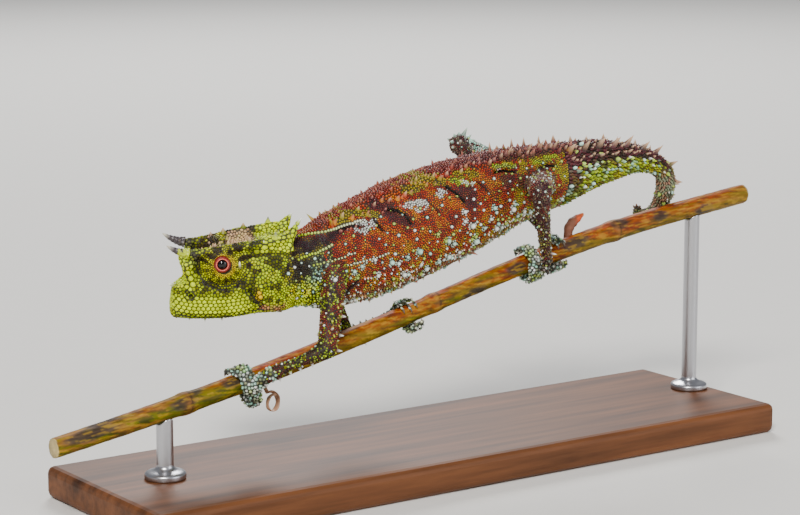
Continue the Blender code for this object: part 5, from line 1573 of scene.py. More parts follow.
    def planted(self, rows: Sequence[tuple[Array, Array, float, float]], rounded: float) -> Seeds:
        """Seeds from rows of (place, normal, size, rise), in their places' own colours."""
        places, normals, sizes, rises = (np.array(column) for column in zip(*rows))
        regions = self.skin.regions_of(places)
        tint = self.paint.scales(places, normals, regions)
        tint *= 0.86 + 0.28 * self.rng.random((len(places), 1))
        count = len(places)
        return Seeds(
            places, normals, sizes, rises, np.zeros((count, 3)), np.full(count, rounded), regions, tint
        )

    def face_scales(self) -> Seeds:
        """Rings of small scales round each eye, and rows of square ones along each lip."""
        head = self.animal.head
        rows = []
        for side in Side:
            outward = head.way((0, side.value, 0))

            def hit(forward: float, up: float, facing: float = -1.0) -> tuple | None:
                """Where the head's side at (forward, up) leaves the skin, if it faces outwards enough."""
                found = self.skin.leave(head.place((forward, 0, up)), outward, 8.0)
                return found if found and found[1] @ outward > facing else None

            for radius, size in self.eye_rings:
                count = int(round(math.tau * radius / (size * 0.94)))
                turn = self.rng.random() * math.tau
                for i in range(count):
                    angle = turn + math.tau * (i + self.rng.uniform(-0.22, 0.22)) / count
                    reach = radius + self.rng.uniform(-0.04, 0.04) * radius
                    forward = head.eye_place[0] + reach * math.cos(angle)
                    up = head.eye_place[2] + reach * math.sin(angle)
                    found = hit(forward, up, 0.25)
                    if found:
                        rows.append((*found, size, 0.09))
            for number, (lift, size) in enumerate(self.lip_rows):
                x = 5.7 - (number % 2) * self.lip_step / 2
                last = -1.9 if lift > 0 else -3.2
                while x > last:
                    up = float(head.mouth_up.at(x)) + lift + self.rng.uniform(-0.03, 0.03)
                    found = hit(x, up, 0.3)
                    if found:
                        rows.append((*found, size, 0.14 if lift > 0 else 0.1))
                    x -= self.lip_step * self.rng.uniform(0.88, 1.12) * (1.0 if lift > 0 else 0.75)
            for forward, up, size in self.large_scales:
                found = hit(forward, up)
                if found:
                    rows.insert(0, (*found, size, 0.2))
        return self.planted(rows, 0.1)

    def bead_rows(self) -> Seeds:
        """Rows of pale beads along the neck and the shoulders."""
        rows = []
        for side in (-1, 1):
            for number, path in enumerate(self.paint.bead_rows):
                line = np.array(path)
                lengths = travelled(line)
                step, size = (0.33, 0.36) if number < 2 else (0.4, 0.27)
                for t in np.arange(0.0, lengths[-1], step):
                    x = np.interp(t, lengths, line[:, 0])
                    z = np.interp(t, lengths, line[:, 1]) + self.rng.uniform(-0.05, 0.05)
                    found = self.skin.across(x, z, side)
                    if found:
                        rows.append((*found, size, 0.17))
        seeds = self.planted(rows, 0.9)
        p = self.paint.pigments
        paler = np.clip((seeds.place[:, 0] + 17.0) / 6.0, 0, 1) * 0.7
        seeds.tint = blend(blend(seeds.tint, p.leaf * 1.3, 0.95), p.pearl, paler)
        return seeds

    def tubercles(self, tries: int = 5200) -> Seeds:
        """Large pale beads on the flanks, larger towards the belly, and smaller ones on the limbs."""
        p = self.paint.pigments
        corners = self.skin.points[self.skin.triangles]
        cross = np.cross(corners[:, 1] - corners[:, 0], corners[:, 2] - corners[:, 0])
        areas = np.linalg.norm(cross, axis=1)
        index = self.rng.choice(len(areas), tries, p=areas / areas.sum())
        places, normals = corners[index].mean(axis=1), unit(cross[index])
        regions = self.skin.regions_of(places)
        height = self.animal.torso.height(places)
        body, limb, tail = np.isin(regions, TRUNK), np.isin(regions, LIMBS), regions == Region.TAIL
        low = fall(height, 0.05, 0.75)
        share = self.rng.random(tries)
        body_size = 0.18 + 0.14 * share + (0.08 + 0.24 * low) * share**4
        size = np.where(body, body_size, self.rng.uniform(0.22, 0.34, tries))
        gap = np.where(body, 1.05 - 0.52 * low, 0.55)
        gap = np.where(body & (places[:, 0] > 3), gap * 0.85, gap)
        size = np.where(tail, self.rng.uniform(0.36, 0.58, tries), size)
        gap = np.where(tail, 1.5, gap)
        allowed = (body & (height < 0.82)) | limb | tail
        allowed &= ~(body & (spot(places[:, [0, 2]], (-15.5, 27.3), (2.6, 1.3)) > 0.4))
        order = np.argsort(-size * (1 + 0.2 * self.rng.random(tries)))
        tree = tree_of(places)
        kept = []
        for i in order:
            if not allowed[i]:
                continue
            kept.append(i)
            for _, j, _ in tree.find_range(places[i], gap[i] * self.rng.uniform(0.7, 1.15)):
                allowed[j] = False
        kept = np.array(kept)
        places, normals, regions, size = places[kept], normals[kept], regions[kept], size[kept]
        count = len(kept)
        fine = self.rng.random(count)
        pale = blend(p.mint, p.pearl, fine)
        tail = regions == Region.TAIL
        arm = np.isin(regions, ARMS)
        lime = 0.36 + 0.35 * tail + 0.3 * arm
        pale = blend(pale, p.leaf * 1.15, (self.rng.random(count) < lime) * 0.85)
        keep_own = np.isin(regions, LIMBS) & (self.rng.random(count) < 0.35)
        pale = blend(pale, self.paint.scales(places, normals, regions), keep_own * 0.8)
        lean = np.zeros((count, 3))
        lean[tail] = self.tail_way(places[tail]) * size[tail, None] * 0.5
        shade = 0.8 + 0.3 * self.rng.random((count, 1))
        beads = Seeds(places, normals, size, size * 0.52, lean, np.full(count, 0.9), regions, pale * shade)
        return Seeds.joined([self.great(), beads])

    def great(self) -> Seeds:
        """The largest tubercles, each at its own place on both flanks."""
        rows = []
        for side in (-1, 1):
            for x, z, size in self.paint.great_beads:
                found = self.skin.across(x, z, side)
                if found:
                    rows.append((*found, size, size * 0.6))
        seeds = self.planted(rows, 0.9)
        p = self.paint.pigments
        pale = blend(p.mint, p.pearl, self.rng.random(len(rows)))
        seeds.tint = pale * (0.95 + 0.15 * self.rng.random((len(rows), 1)))
        return seeds

    def halos(self, beads: Seeds) -> Seeds:
        """A rosette of small pale beads round each of the largest tubercles."""
        rows, tints = [], []
        large = beads.pick((beads.size >= self.halo_least) & (beads.region != Region.TAIL))
        for place, normal, size, tint in zip(large.place, large.normal, large.size, large.tint):
            first = unit(np.cross(normal, (0.3, 0.1, 1.0)))
            second = np.cross(normal, first)
            reach = size / 2 + self.halo_gap
            count = int(round(math.tau * reach / (self.halo_gap * 2)))
            turn = self.rng.random() * math.tau
            for i in range(count):
                if self.rng.random() < self.halo_missing:
                    continue
                angle = turn + math.tau * i / count
                rows.append(place + (first * math.cos(angle) + second * math.sin(angle)) * reach)
                tints.append(tint)
        places, normals = self.skin.surface(np.array(rows))
        rows = [
            (place, normal, self.halo_size, self.halo_size / 2) for place, normal in zip(places, normals)
        ]
        seeds = self.planted(rows, 0.9)
        seeds.tint = blend(seeds.tint, np.array(tints), 0.7)
        return seeds

    def seeds(self) -> Seeds:
        """Every scale, bead and tubercle."""
        beads = self.tubercles()
        beads = beads.pick(beads.region != Region.HEAD)
        fixed = Seeds.joined([self.face_scales(), self.bead_rows(), beads, self.halos(beads)])
        fixed = self.apart(fixed)
        log.info("coat: %d fixed scales", len(fixed.place))
        everything = Seeds.joined([fixed, self.loose(fixed)])
        log.info("coat: %d scales in all", len(everything.place))
        return everything

    def apart(self, seeds: Seeds) -> Seeds:
        """The seeds without those that lie on an earlier one."""
        near = self.neighbours(seeds.place, 6)
        keep = np.ones(len(seeds.place), bool)
        for i, row in enumerate(near):
            for j in row:
                if j < i and keep[j]:
                    off = np.linalg.norm(seeds.place[i] - seeds.place[j])
                    if off < (seeds.size[i] + seeds.size[j]) * self.overlap:
                        keep[i] = False
        return seeds.pick(keep)

    def reaches_of(
        self, seeds: Seeds, chosen: Array, near: Array, angles: Array
    ) -> tuple[Array, Array, Array]:
        """How far each chosen scale reaches at each angle before it meets its neighbours.

        Returns:
            The two directions across each scale, and its reach in mm by angle.
        """
        normal, place = seeds.normal[chosen], seeds.place[chosen]
        across = unit(np.cross(normal, np.array([0.31, 0.17, 0.93])))
        rise = np.cross(normal, across)
        off = seeds.place[near] - place[:, None]
        x = (off * across[:, None]).sum(axis=2)
        y = (off * rise[:, None]).sum(axis=2)
        far = np.maximum(np.hypot(x, y), 1e-6)
        own, other = seeds.size[chosen][:, None] / 2, seeds.size[near] / 2
        edge = (far**2 + own**2 - other**2) / (2 * far) - self.groove
        edge = np.maximum(edge, own * 0.3)
        facing = (seeds.normal[near] * normal[:, None]).sum(axis=2) > 0.1
        cap = own * (1.5 - 0.5 * seeds.rounded[chosen][:, None])
        reach = np.repeat(cap, len(angles), axis=1)
        for k, angle in enumerate(angles):
            toward = (x * math.cos(angle) + y * math.sin(angle)) / far
            ok = facing & (toward > 0.15)
            limit = np.where(ok, edge / np.maximum(toward, 0.15), 1e9).min(axis=1)
            reach[:, k] = np.minimum(reach[:, k], limit)
        return across, rise, reach

    def mesh(
        self, name: str, seeds: Seeds, chosen: Array, near: Array, sides: int, plates: bool
    ) -> bpy.types.Mesh:
        """The scales of one stretch as one mesh.

        Args:
            name: the mesh's name.
            seeds: every seed of the coat.
            chosen: which of the seeds this mesh holds.
            near: for each seed, the numbers of its neighbours.
            sides: the count of corners of each scale.
            plates: flat domed plates with one ring more, or small beads.

        Returns:
            The mesh in metres.
        """
        numbers = np.flatnonzero(chosen)
        angles = turns(sides)
        across, rise, reach = self.reaches_of(seeds, numbers, near[numbers], angles)
        some = seeds.pick(numbers)
        count = len(numbers)
        place = some.place[:, None]
        rim = place + wheel(across, rise, angles) * reach[..., None]
        feet = self.skin.surface(rim.reshape(-1, 3))[0].reshape(count, sides, 3)
        up = some.normal[:, None] * some.rise[:, None, None]
        profile = self.plate_profile if plates else self.bead_profile
        leaning = np.clip(np.linalg.norm(some.lean, axis=1) / some.size * 1.6, 0, 1)[:, None, None]
        layers = [feet - some.normal[:, None] * self.sink]
        for share, lift, _ in profile:
            drawn_in = 0.1 * some.rounded[:, None, None] if share > 0.9 else 0.36 * leaning
            ring = place + (feet - place) * (share - drawn_in) + up * lift
            layers.append(ring + some.lean[:, None] * lift**2)
        tip = some.place + up[:, 0] + some.lean
        points = np.concatenate([*layers, tip[:, None]], axis=1)
        # Each ring takes the scale's tint times its shade: painted shade at the foot and the shoulder, a
        # painted highlight at the tip.
        painted_shades = (self.foot_shade, *(shade for _, _, shade in profile))
        shade = np.append(np.repeat(painted_shades, sides), self.tip_shade)
        tints = some.tint[:, None] * shade[None, :, None]
        roots = Unwrap(self.animal).chart(some.place, some.region)
        local = (points - place) / np.maximum(some.size[:, None, None], 1e-6)
        flat = np.stack([(local * across[:, None]).sum(axis=2), (local * rise[:, None]).sum(axis=2)], axis=2)
        return cone_mesh(name, points, sides, tints, roots, flat)


@dataclass(frozen=True)
class Unwrap:
    """Places in the unit square for the roots of scales, by an unwrap of the forms they stand on."""

    animal: Animal

    def chart(self, points: Array, regions: Array) -> Array:
        """The place of each point's root in its piece's square."""
        local = self.animal.head.local(points)
        head = np.column_stack([(local[:, 0] + 8.0) / 15.0, self.turn(local[:, 1], local[:, 2] + 0.8)])
        middle = (self.animal.torso.top.at(points[:, 0]) + self.animal.torso.bottom.at(points[:, 0])) / 2
        body = np.column_stack(
            [(points[:, 0] + 21.0) / 43.0, self.turn(points[:, 1], points[:, 2] - middle)]
        )
        line = self.animal.tail.samples()[:, :3]
        near = nearest(points, line)
        off = points - line[near]
        tail = np.column_stack([near / len(line), self.turn(off[:, 1], off[:, 2] + off[:, 0] * 0.5)])
        found = np.where((regions == Region.HEAD)[:, None], head, body)
        found = np.where((regions == Region.TAIL)[:, None], tail, found)
        for strip, (limb, grip) in enumerate(zip(self.animal.limbs(), self.animal.grips())):
            t, turn = self.along_limb(points, np.array(limb.joints))
            chart = np.column_stack([t * 0.66 + 0.01, (strip + turn * 0.96) / 4.0])
            found = np.where((regions == limb.region)[:, None], chart, found)
            own = regions == grip.region
            if own.any():
                off = points[own] - np.array([self.animal.stem.centre(x) for x in points[own, 0]])
                along = 0.7 + (points[own, 0] - grip.palm_x + 3.5) / 7.0 * 0.29
                found[own] = np.column_stack([along, (strip + self.turn(off[:, 1], off[:, 2]) * 0.96) / 4.0])
        return found

    @staticmethod
    def turn(across: Array, up: Array) -> Array:
        """The direction of (across, up) as a share of a whole turn."""
        return np.arctan2(across, up) / math.tau + 0.5

    def along_limb(self, points: Array, joints: Array) -> tuple[Array, Array]:
        """Each point's share of the way along the limb, and its direction round it."""
        lengths = np.linalg.norm(np.diff(joints, axis=0), axis=1)
        shares = []
        for start, end in zip(joints, joints[1:]):
            along = end - start
            t = np.clip(((points - start) @ along) / (along @ along), 0, 1)
            axis = unit(along)
            side = unit(np.cross(axis, (0.2, 0.9, 0.4)))
            off = points - start - t[:, None] * along
            shares.append(
                (np.linalg.norm(off, axis=1), t, self.turn(off @ np.cross(axis, side), off @ side))
            )
        (near, t, turn), (near_second, t_second, turn_second) = shares
        second = near_second < near
        t = np.where(second, lengths[0] + t_second * lengths[1], t * lengths[0]) / lengths.sum()
        return t, np.where(second, turn_second, turn)


# Spines
@dataclass
class Spine:
    """One horny point: its root, its way, its size, how it bends, and its colours."""

    root: Array
    way: Array
    length: float
    radius: float
    bend: Array
    foot_tint: Array
    tip_tint: Array


@dataclass
class Spines:
    """The rows of spines along the back, the tail, the belly, the throat, the head and the limbs."""

    animal: Animal
    skin: Skin
    paint: Paint
    rng: np.random.Generator
    found: list = field(default_factory=list)
    crown_points: tuple = (
        (-4.6, 2.0, -0.1, 0.4, 0.75, 0.36, "haze"), (-2.2, 1.9, 0.0, 0.45, 0.55, 0.34, "blush"),
        (-0.2, 1.8, 0.1, 0.4, 0.6, 0.34, "blush"), (1.4, 1.6, 0.0, 0.4, 0.55, 0.32, "blush"),
    )
    tall_back: tuple = (9.6, 12.6, 14.3, 16.4)
    sides: int = 7
    # Each row: a share of the length, a share of the radius, and a shade; the lower shades darken the spine
    # towards its root as painted shade where it meets the skin.
    profile: tuple = ((-0.12, 1.1, 0.75), (0.12, 0.92, 0.95), (0.42, 0.6, 1.0), (0.74, 0.28, 1.0))
    knee_points: tuple = (
        ((-1.0, -0.3, 0.3), 0.6), ((-0.7, -0.3, 0.9), 0.7), ((-0.2, -0.3, 1.0), 0.5),
        ((0.4, -0.3, 1.0), 1.1), ((0.9, -0.3, 0.6), 0.7), ((-1.0, -0.4, -0.2), 0.45),
        ((-0.5, -1.0, 0.4), 0.4), ((0.3, -1.0, 0.3), 0.45), ((0.1, 0.9, 0.5), 0.6), ((-0.6, 0.7, 0.4), 0.5),
    )
    arm_spots: tuple = (
        (0, 0.55, 1, 0.6), (0, 0.55, -1, 0.6), (0, 0.8, -1, 0.7), (0, 0.82, 1, 0.4), (0, 1.0, -1, 0.75),
        (1, 0.3, -1, 0.5), (1, 0.42, 1, 0.95), (1, 0.5, -1, 0.6), (1, 0.66, -1, 0.5), (1, 0.74, 1, 0.75),
        (1, 0.85, -1, 0.45),
    )

    def plant(self, start: Array, way: Array, length: float, radius: float, **look) -> None:
        """Adds a spine where a ray from inside leaves the skin.

        Args:
            start: a place inside the skin.
            way: the ray's direction, which the spine follows.
            length: how far the spine stands out, in mm.
            radius: its radius at the root, in mm.
            look: lean, a direction added to way; bend; tip, a colour.
        """
        way = unit(np.asarray(way, float))
        hit = self.skin.leave(np.asarray(start, float), way, 14.0)
        if hit is None:
            return
        place, normal = hit
        region = self.skin.regions_of(place[None])
        own = self.paint.scales(place[None], normal[None], region)[0]
        tip = look.get("tip", self.paint.pigments.pearl)
        aim = unit(way + normal * 0.5 + np.asarray(look.get("lean", (0, 0, 0)), float))
        bend = np.asarray(look.get("bend", (0, 0, 0)), float)
        self.found.append(Spine(place, aim, length, radius, bend, own * 0.9, tip))

    def head_points(self) -> None:
        """The points of the casque, the crown, the brow, the snout and the chin."""
        head, p = self.animal.head, self.paint.pigments
        for side in Side:
            s = side.value

            def plant(
                start: Sequence, way: Sequence, length: float, radius: float, tip: Array = p.pearl
            ) -> None:
                self.plant(head.place(start), head.way(way), length, radius, tip=tip)

            rear = head.way((-1.1, s * 0.1, 1.75))
            root = head.place(np.multiply(head.spur[head.spur_points(side) - 1], (1, s, 1)))
            length = 0.8 if side is Side.LEFT else 0.6
            self.found.append(Spine(root, rear, length, 0.25, head.way((-1, 0, 0)) * 0.1, p.lime, p.pearl))
            for x, out, forward, aside, length, radius, tip in self.crown_points:
                plant((x, s * out, 1.0), (forward, s * aside, 1.0), length, radius, getattr(p, tip))
            for _ in range(26):
                x = self.rng.uniform(-6.2, 3.0)
                across = self.rng.uniform(0.1, 2.6)
                tip = p.blush if x > -3 else p.slate
                length, radius = self.rng.uniform(0.16, 0.4), self.rng.uniform(0.14, 0.24)
                plant((x, s * across, 0.6), (0, s * 0.08, 1.0), length, radius, tip)
            for x, length in ((4.1, 0.3), (2.45, 0.5), (0.65, 0.5), (-1.2, 0.3), (-2.9, 0.26)):
                plant((x, s * 1.5, -3.6), (0.0, s * 0.1, -1.0), length, 0.15)
            for i in range(9):
                x = 3.6 - 1.15 * i + self.rng.uniform(-0.3, 0.3)
                out = self.rng.uniform(0.2, 1.1)
                plant((x, s * out, -3.6), (0, 0, -1.0), self.rng.uniform(0.14, 0.26), 0.12, p.lime_bright)
            plant((4.2, s * 1.0, 0.9), (1.0, s * 0.3, 0.3), 0.4, 0.26, p.mint)
            plant((4.2, s * 1.2, 0.2), (1.0, s * 0.4, 0.1), 0.28, 0.24, p.lime_bright)
        self.plant(head.place((4.9, 0, -1.95)), head.way((1.0, 0, 0.12)), 0.8, 0.3, tip=p.pearl)
        self.plant(head.place((-5.8, 0, 1.0)), head.way((-0.2, 0, 1.0)), 0.5, 0.34, tip=p.slate)

    def back_points(self) -> None:
        """Pairs of points along the back, blunt in front and slender behind."""
        torso, p, uniform = self.animal.torso, self.paint.pigments, self.rng.uniform

        def plant(x: float, turn: float, length: float, radius: float, **look) -> None:
            """Adds a spine at x, in the direction of turn degrees from the side."""
            turn = math.radians(turn)
            self.plant(torso.axis(x), (0, math.cos(turn), math.sin(turn)), length, radius, **look)

        for side in (-1, 1):
            look = {"lean": (-0.5, 0, 0), "bend": (-0.25, 0, 0.1), "tip": p.olive * 1.2}
            self.plant(torso.axis(-14.1), (0, side * 0.38, 1), 1.25, 0.3, **look)
            for i in range(104):
                x = -13.6 + 0.32 * i + uniform(-0.12, 0.12)
                knob = i % 3 == 0
                turn = 90 + side * (uniform(15, 26) if knob else uniform(3, 34))
                length = uniform(0.42, 0.75) if knob else uniform(0.2, 0.42)
                radius = uniform(0.24, 0.33) if knob else uniform(0.16, 0.25)
                tip = p.blush * 0.85 if knob and i % 2 else p.rose * uniform(0.7, 1.1)
                plant(x, turn, length, radius, lean=(0.1, 0, 0), tip=tip)
            for x in self.tall_back:
                plant(x, 90 + side * 20, 1.25, 0.26, lean=(0.25, 0, 0), bend=(0.1, 0, 0), tip=p.blush)
            for i in range(70):
                x = -13.0 + 0.4 * i + uniform(-0.15, 0.15)
                turn = 270 + side * uniform(3, 24)
                tip = p.pearl if self.rng.random() < 0.75 else p.rose * 1.3
                plant(x, turn, uniform(0.2, 0.5), uniform(0.14, 0.22), tip=tip)
            for _ in range(60):
                x = uniform(-12.5, 14.0)
                turn = 270 + side * uniform(22, 48)
                plant(x, turn, uniform(0.16, 0.36), uniform(0.13, 0.2), tip=p.pearl)
            for _ in range(70):
                x, up = uniform(-18.2, -14.6), uniform(20.0, 22.6)
                way = (-0.1, side, uniform(-0.9, 0.15))
                start = np.array([x, 0.0, max(up, 20.4)])
                self.plant(start, way, uniform(0.16, 0.36), 0.15, lean=(0, 0, -0.5), tip=p.lime_bright)

    def tail_points(self) -> None:
        """Rings of spines along the tail, the longest above."""
        p = self.paint.pigments
        rows = self.animal.tail.samples()
        line = rows[:, :3]
        lengths = travelled(line)
        frames = carried_frames(line, (0, 0, 1))
        place, number = 0.6, 0
        while place < lengths[-1] - 1.0:
            i = int(np.searchsorted(lengths, place))
            forward, _, back = frames[i]
            size = rows[i, 3]
            full = min(1.0, size / 1.3) ** 2
            tall = number % 4 == 0
            look = {"lean": forward * 0.5, "bend": forward * 0.1}
            for side in (-1, 1):
                for angle, length, radius, chance in (
                    (26, 1.4 if tall else 0.42, 0.42 if tall else 0.24, 1.0),
                    (8, 0.5 if tall else 0.3, 0.24, 0.7),
                    (50, 0.7 if tall else 0.34, 0.26, 0.8),
                    (78, 0.45, 0.26, 0.4),
                    (108, 0.4, 0.24, 0.35),
                ):
                    if self.rng.random() > chance:
                        continue
                    turn = math.radians(90 - angle + self.rng.uniform(-5, 5))
                    way = np.array([0.0, side, 0.0]) * math.cos(turn) + back * math.sin(turn)
                    reach = max(0.2, full * length * self.rng.uniform(0.8, 1.15))
                    tip = (
                        p.blush * 0.9 if angle < 60
                        else (p.leaf * 1.1 if self.rng.random() < 0.5 else p.pearl)
                    )
                    self.plant(line[i], way, reach, radius * min(1.1, 0.4 + 0.4 * size), tip=tip, **look)
            place += 0.57
            number += 1

    def limb_points(self) -> None:
        """Scattered pale points along the limbs, and the spurs at the heels."""
        p, limbs = self.paint.pigments, self.animal.limbs()
        for limb in limbs:
            joints = np.array(limb.joints)
            for start, end, count in zip(joints, joints[1:], (16, 18)):
                along = unit(end - start)
                first = unit(np.cross(along, (0.1, 0.2, 1.0)))
                second = np.cross(along, first)
                for i in range(count):
                    t = 0.22 + 0.72 * (i + self.rng.random() * 0.6) / count
                    turn = 2.4 * i + self.rng.uniform(-0.4, 0.4)
                    way = first * math.cos(turn) + second * math.sin(turn)
                    long = i % 4 == 0
                    length = self.rng.uniform(0.45, 0.75) if long else self.rng.uniform(0.16, 0.3)
                    tip = p.pearl if self.rng.random() < 0.7 else p.olive * 0.6
                    radius = 0.2 if long else 0.14
                    self.plant(start + (end - start) * t, way, length, radius, lean=-along * 0.15, tip=tip)
        for limb in limbs[:2]:
            joints = np.array(limb.joints)
            for part, t, turn, length in self.arm_spots:
                along = unit(joints[part + 1] - joints[part])
                across = unit(np.cross(along, (-0.56, -0.81, 0.17))) * turn
                start = joints[part] + (joints[part + 1] - joints[part]) * t
                self.plant(start, across, length, 0.27, tip=p.pearl)
        knee = np.array(self.animal.leg_right[1])
        for way, length in self.knee_points:
            self.plant(knee, way, length, 0.3, tip=blend(p.mint, p.rose, self.rng.random() * 0.6))
        for grip in self.animal.grips():
            if not grip.heel_spine:
                continue
            wrist = np.array(grip.wrist)
            for way, length in (
                ((0.9, grip.across * 0.3, -0.25), 0.9), ((0.7, grip.across * 0.4, 0.3), 0.6)
            ):
                self.plant(wrist + (0, 0, -0.8), way, length, 0.22, tip=p.rose * 1.3)

    def build(self) -> bpy.types.Mesh:
        """All the spines as one mesh."""
        for method in (self.head_points, self.back_points, self.tail_points, self.limb_points):
            method()
        root, way, length, radius, bend, foot, tip = (
            np.array([getattr(spine, name) for spine in self.found]) for name in Spine.__dataclass_fields__
        )
        length, radius = length[:, None], radius[:, None, None]
        across = unit(np.cross(way, np.array([0.27, 0.36, 0.89])))
        spokes = wheel(across, np.cross(way, across), turns(self.sides))
        layers, tints = [], []
        for t, wide, shade in self.profile:
            centre = root + way * length * t + bend * t**2
            layers.append(centre[:, None] + spokes * radius * wide)
            # Darker towards the root by the profile's shade: painted shade.
            tint = blend(foot, tip, ramp(t, 0.15, 0.8)) * shade
            tints.append(np.repeat(tint[:, None], self.sides, axis=1))
        layers.append((root + way * length + bend)[:, None])
        tints.append(tip[:, None])
        points, colours = np.concatenate(layers, axis=1), np.concatenate(tints, axis=1)
        roots = Unwrap(self.animal).chart(root, self.skin.regions_of(root))
        off = points - root[:, None]
        flat = np.stack([(off * across[:, None]).sum(axis=2), (off * way[:, None]).sum(axis=2)], axis=2)
        log.info("spines: %d", len(root))
        return cone_mesh(
            "spines", points, self.sides, colours, roots, flat / np.maximum(length, 0.1)[:, None]
        )


# Finishes
class Bumps(Enum):
    """The kinds of fine surface that a finish can have."""

    GRAIN = "grain"
    FIBRE = "fibre"


@dataclass(frozen=True)
class Finish:
    """A surface: a colour or the piece's own tint, its gloss, and its fine grain."""

    name: str
    roughness: float
    colour: tuple | None = None
    metallic: float = 0.0
    specular: float = 0.5
    bumps: Bumps = Bumps.GRAIN
    grain_scale: float = 3000.0
    grain_strength: float = 0.3
    grain_depth: float = 0.00004
    shade_range: float = 0.2
    stretch: tuple = (1.0, 1.0, 1.0)
    turn: tuple = (0.0, 0.0, 0.0)

    def material(self) -> bpy.types.Material:
        """The finish as a material of nodes."""
        material = bpy.data.materials.new(self.name)
        material.use_nodes = True
        tree = material.node_tree
        shader = tree.nodes["Principled BSDF"]
        for socket, value in (
            ("Roughness", self.roughness), ("Metallic", self.metallic),
            ("Specular IOR Level", self.specular),
        ):
            shader.inputs[socket].default_value = value
        place = tree.nodes.new("ShaderNodeTexCoord")
        mapping = tree.nodes.new("ShaderNodeMapping")
        mapping.inputs["Scale"].default_value = self.stretch
        mapping.inputs["Rotation"].default_value = self.turn
        tree.links.new(place.outputs["Object"], mapping.inputs["Vector"])
        group = tree.nodes.new("ShaderNodeGroup")
        group.node_tree = surface_group(self.bumps)
        group.inputs["Scale"].default_value = self.grain_scale
        group.inputs["Range"].default_value = self.shade_range
        tree.links.new(mapping.outputs["Vector"], group.inputs["Vector"])
        shade = tree.nodes.new("ShaderNodeMix")
        shade.data_type = "RGBA"
        shade.blend_type = "MULTIPLY"
        shade.inputs["Factor"].default_value = 1.0
        if self.colour is None:
            source = tree.nodes.new("ShaderNodeAttribute")
            source.attribute_name = TINT
            tree.links.new(source.outputs["Color"], shade.inputs["A"])
        else:
            shade.inputs["A"].default_value = (*linear(self.colour), 1.0)
        tree.links.new(group.outputs["Shade"], shade.inputs["B"])
        tree.links.new(shade.outputs["Result"], shader.inputs["Base Color"])
        bump = tree.nodes.new("ShaderNodeBump")
        bump.inputs["Strength"].default_value = self.grain_strength
        bump.inputs["Distance"].default_value = self.grain_depth
        tree.links.new(group.outputs["Height"], bump.inputs["Height"])
        tree.links.new(bump.outputs["Normal"], shader.inputs["Normal"])
        return material


def surface_group(kind: Bumps) -> bpy.types.NodeTree:
    """The shared node group that gives a fine surface its shade and its height."""
    name = "surface_" + kind.value
    if name in bpy.data.node_groups:
        return bpy.data.node_groups[name]
    group = bpy.data.node_groups.new(name, "ShaderNodeTree")
    for socket, way, sort in (
        ("Vector", "INPUT", "Vector"), ("Scale", "INPUT", "Float"), ("Range", "INPUT", "Float"),
        ("Shade", "OUTPUT", "Color"), ("Height", "OUTPUT", "Float"),
    ):
        group.interface.new_socket(name=socket, in_out=way, socket_type="NodeSocket" + sort)
    start, end = group.nodes.new("NodeGroupInput"), group.nodes.new("NodeGroupOutput")
    fine = group.nodes.new("ShaderNodeTexNoise")
    fine.inputs["Detail"].default_value = 4.0 if kind is Bumps.GRAIN else 7.0
    fine.inputs["Roughness"].default_value = 0.6
    group.links.new(start.outputs["Vector"], fine.inputs["Vector"])
    group.links.new(start.outputs["Scale"], fine.inputs["Scale"])
    spread = group.nodes.new("ShaderNodeMath")
    spread.operation = "MULTIPLY_ADD"
    half = group.nodes.new("ShaderNodeMath")
    half.operation = "MULTIPLY_ADD"
    half.inputs[1].default_value = -0.5
    half.inputs[2].default_value = 1.0
    group.links.new(start.outputs["Range"], half.inputs[0])
    group.links.new(fine.outputs["Fac"], spread.inputs[0])
    group.links.new(start.outputs["Range"], spread.inputs[1])
    group.links.new(half.outputs["Value"], spread.inputs[2])
    colour = group.nodes.new("ShaderNodeCombineColor")
    for channel in ("Red", "Green", "Blue"):
        group.links.new(spread.outputs["Value"], colour.inputs[channel])
    group.links.new(colour.outputs["Color"], end.inputs["Shade"])
    group.links.new(fine.outputs["Fac"], end.inputs["Height"])
    return group


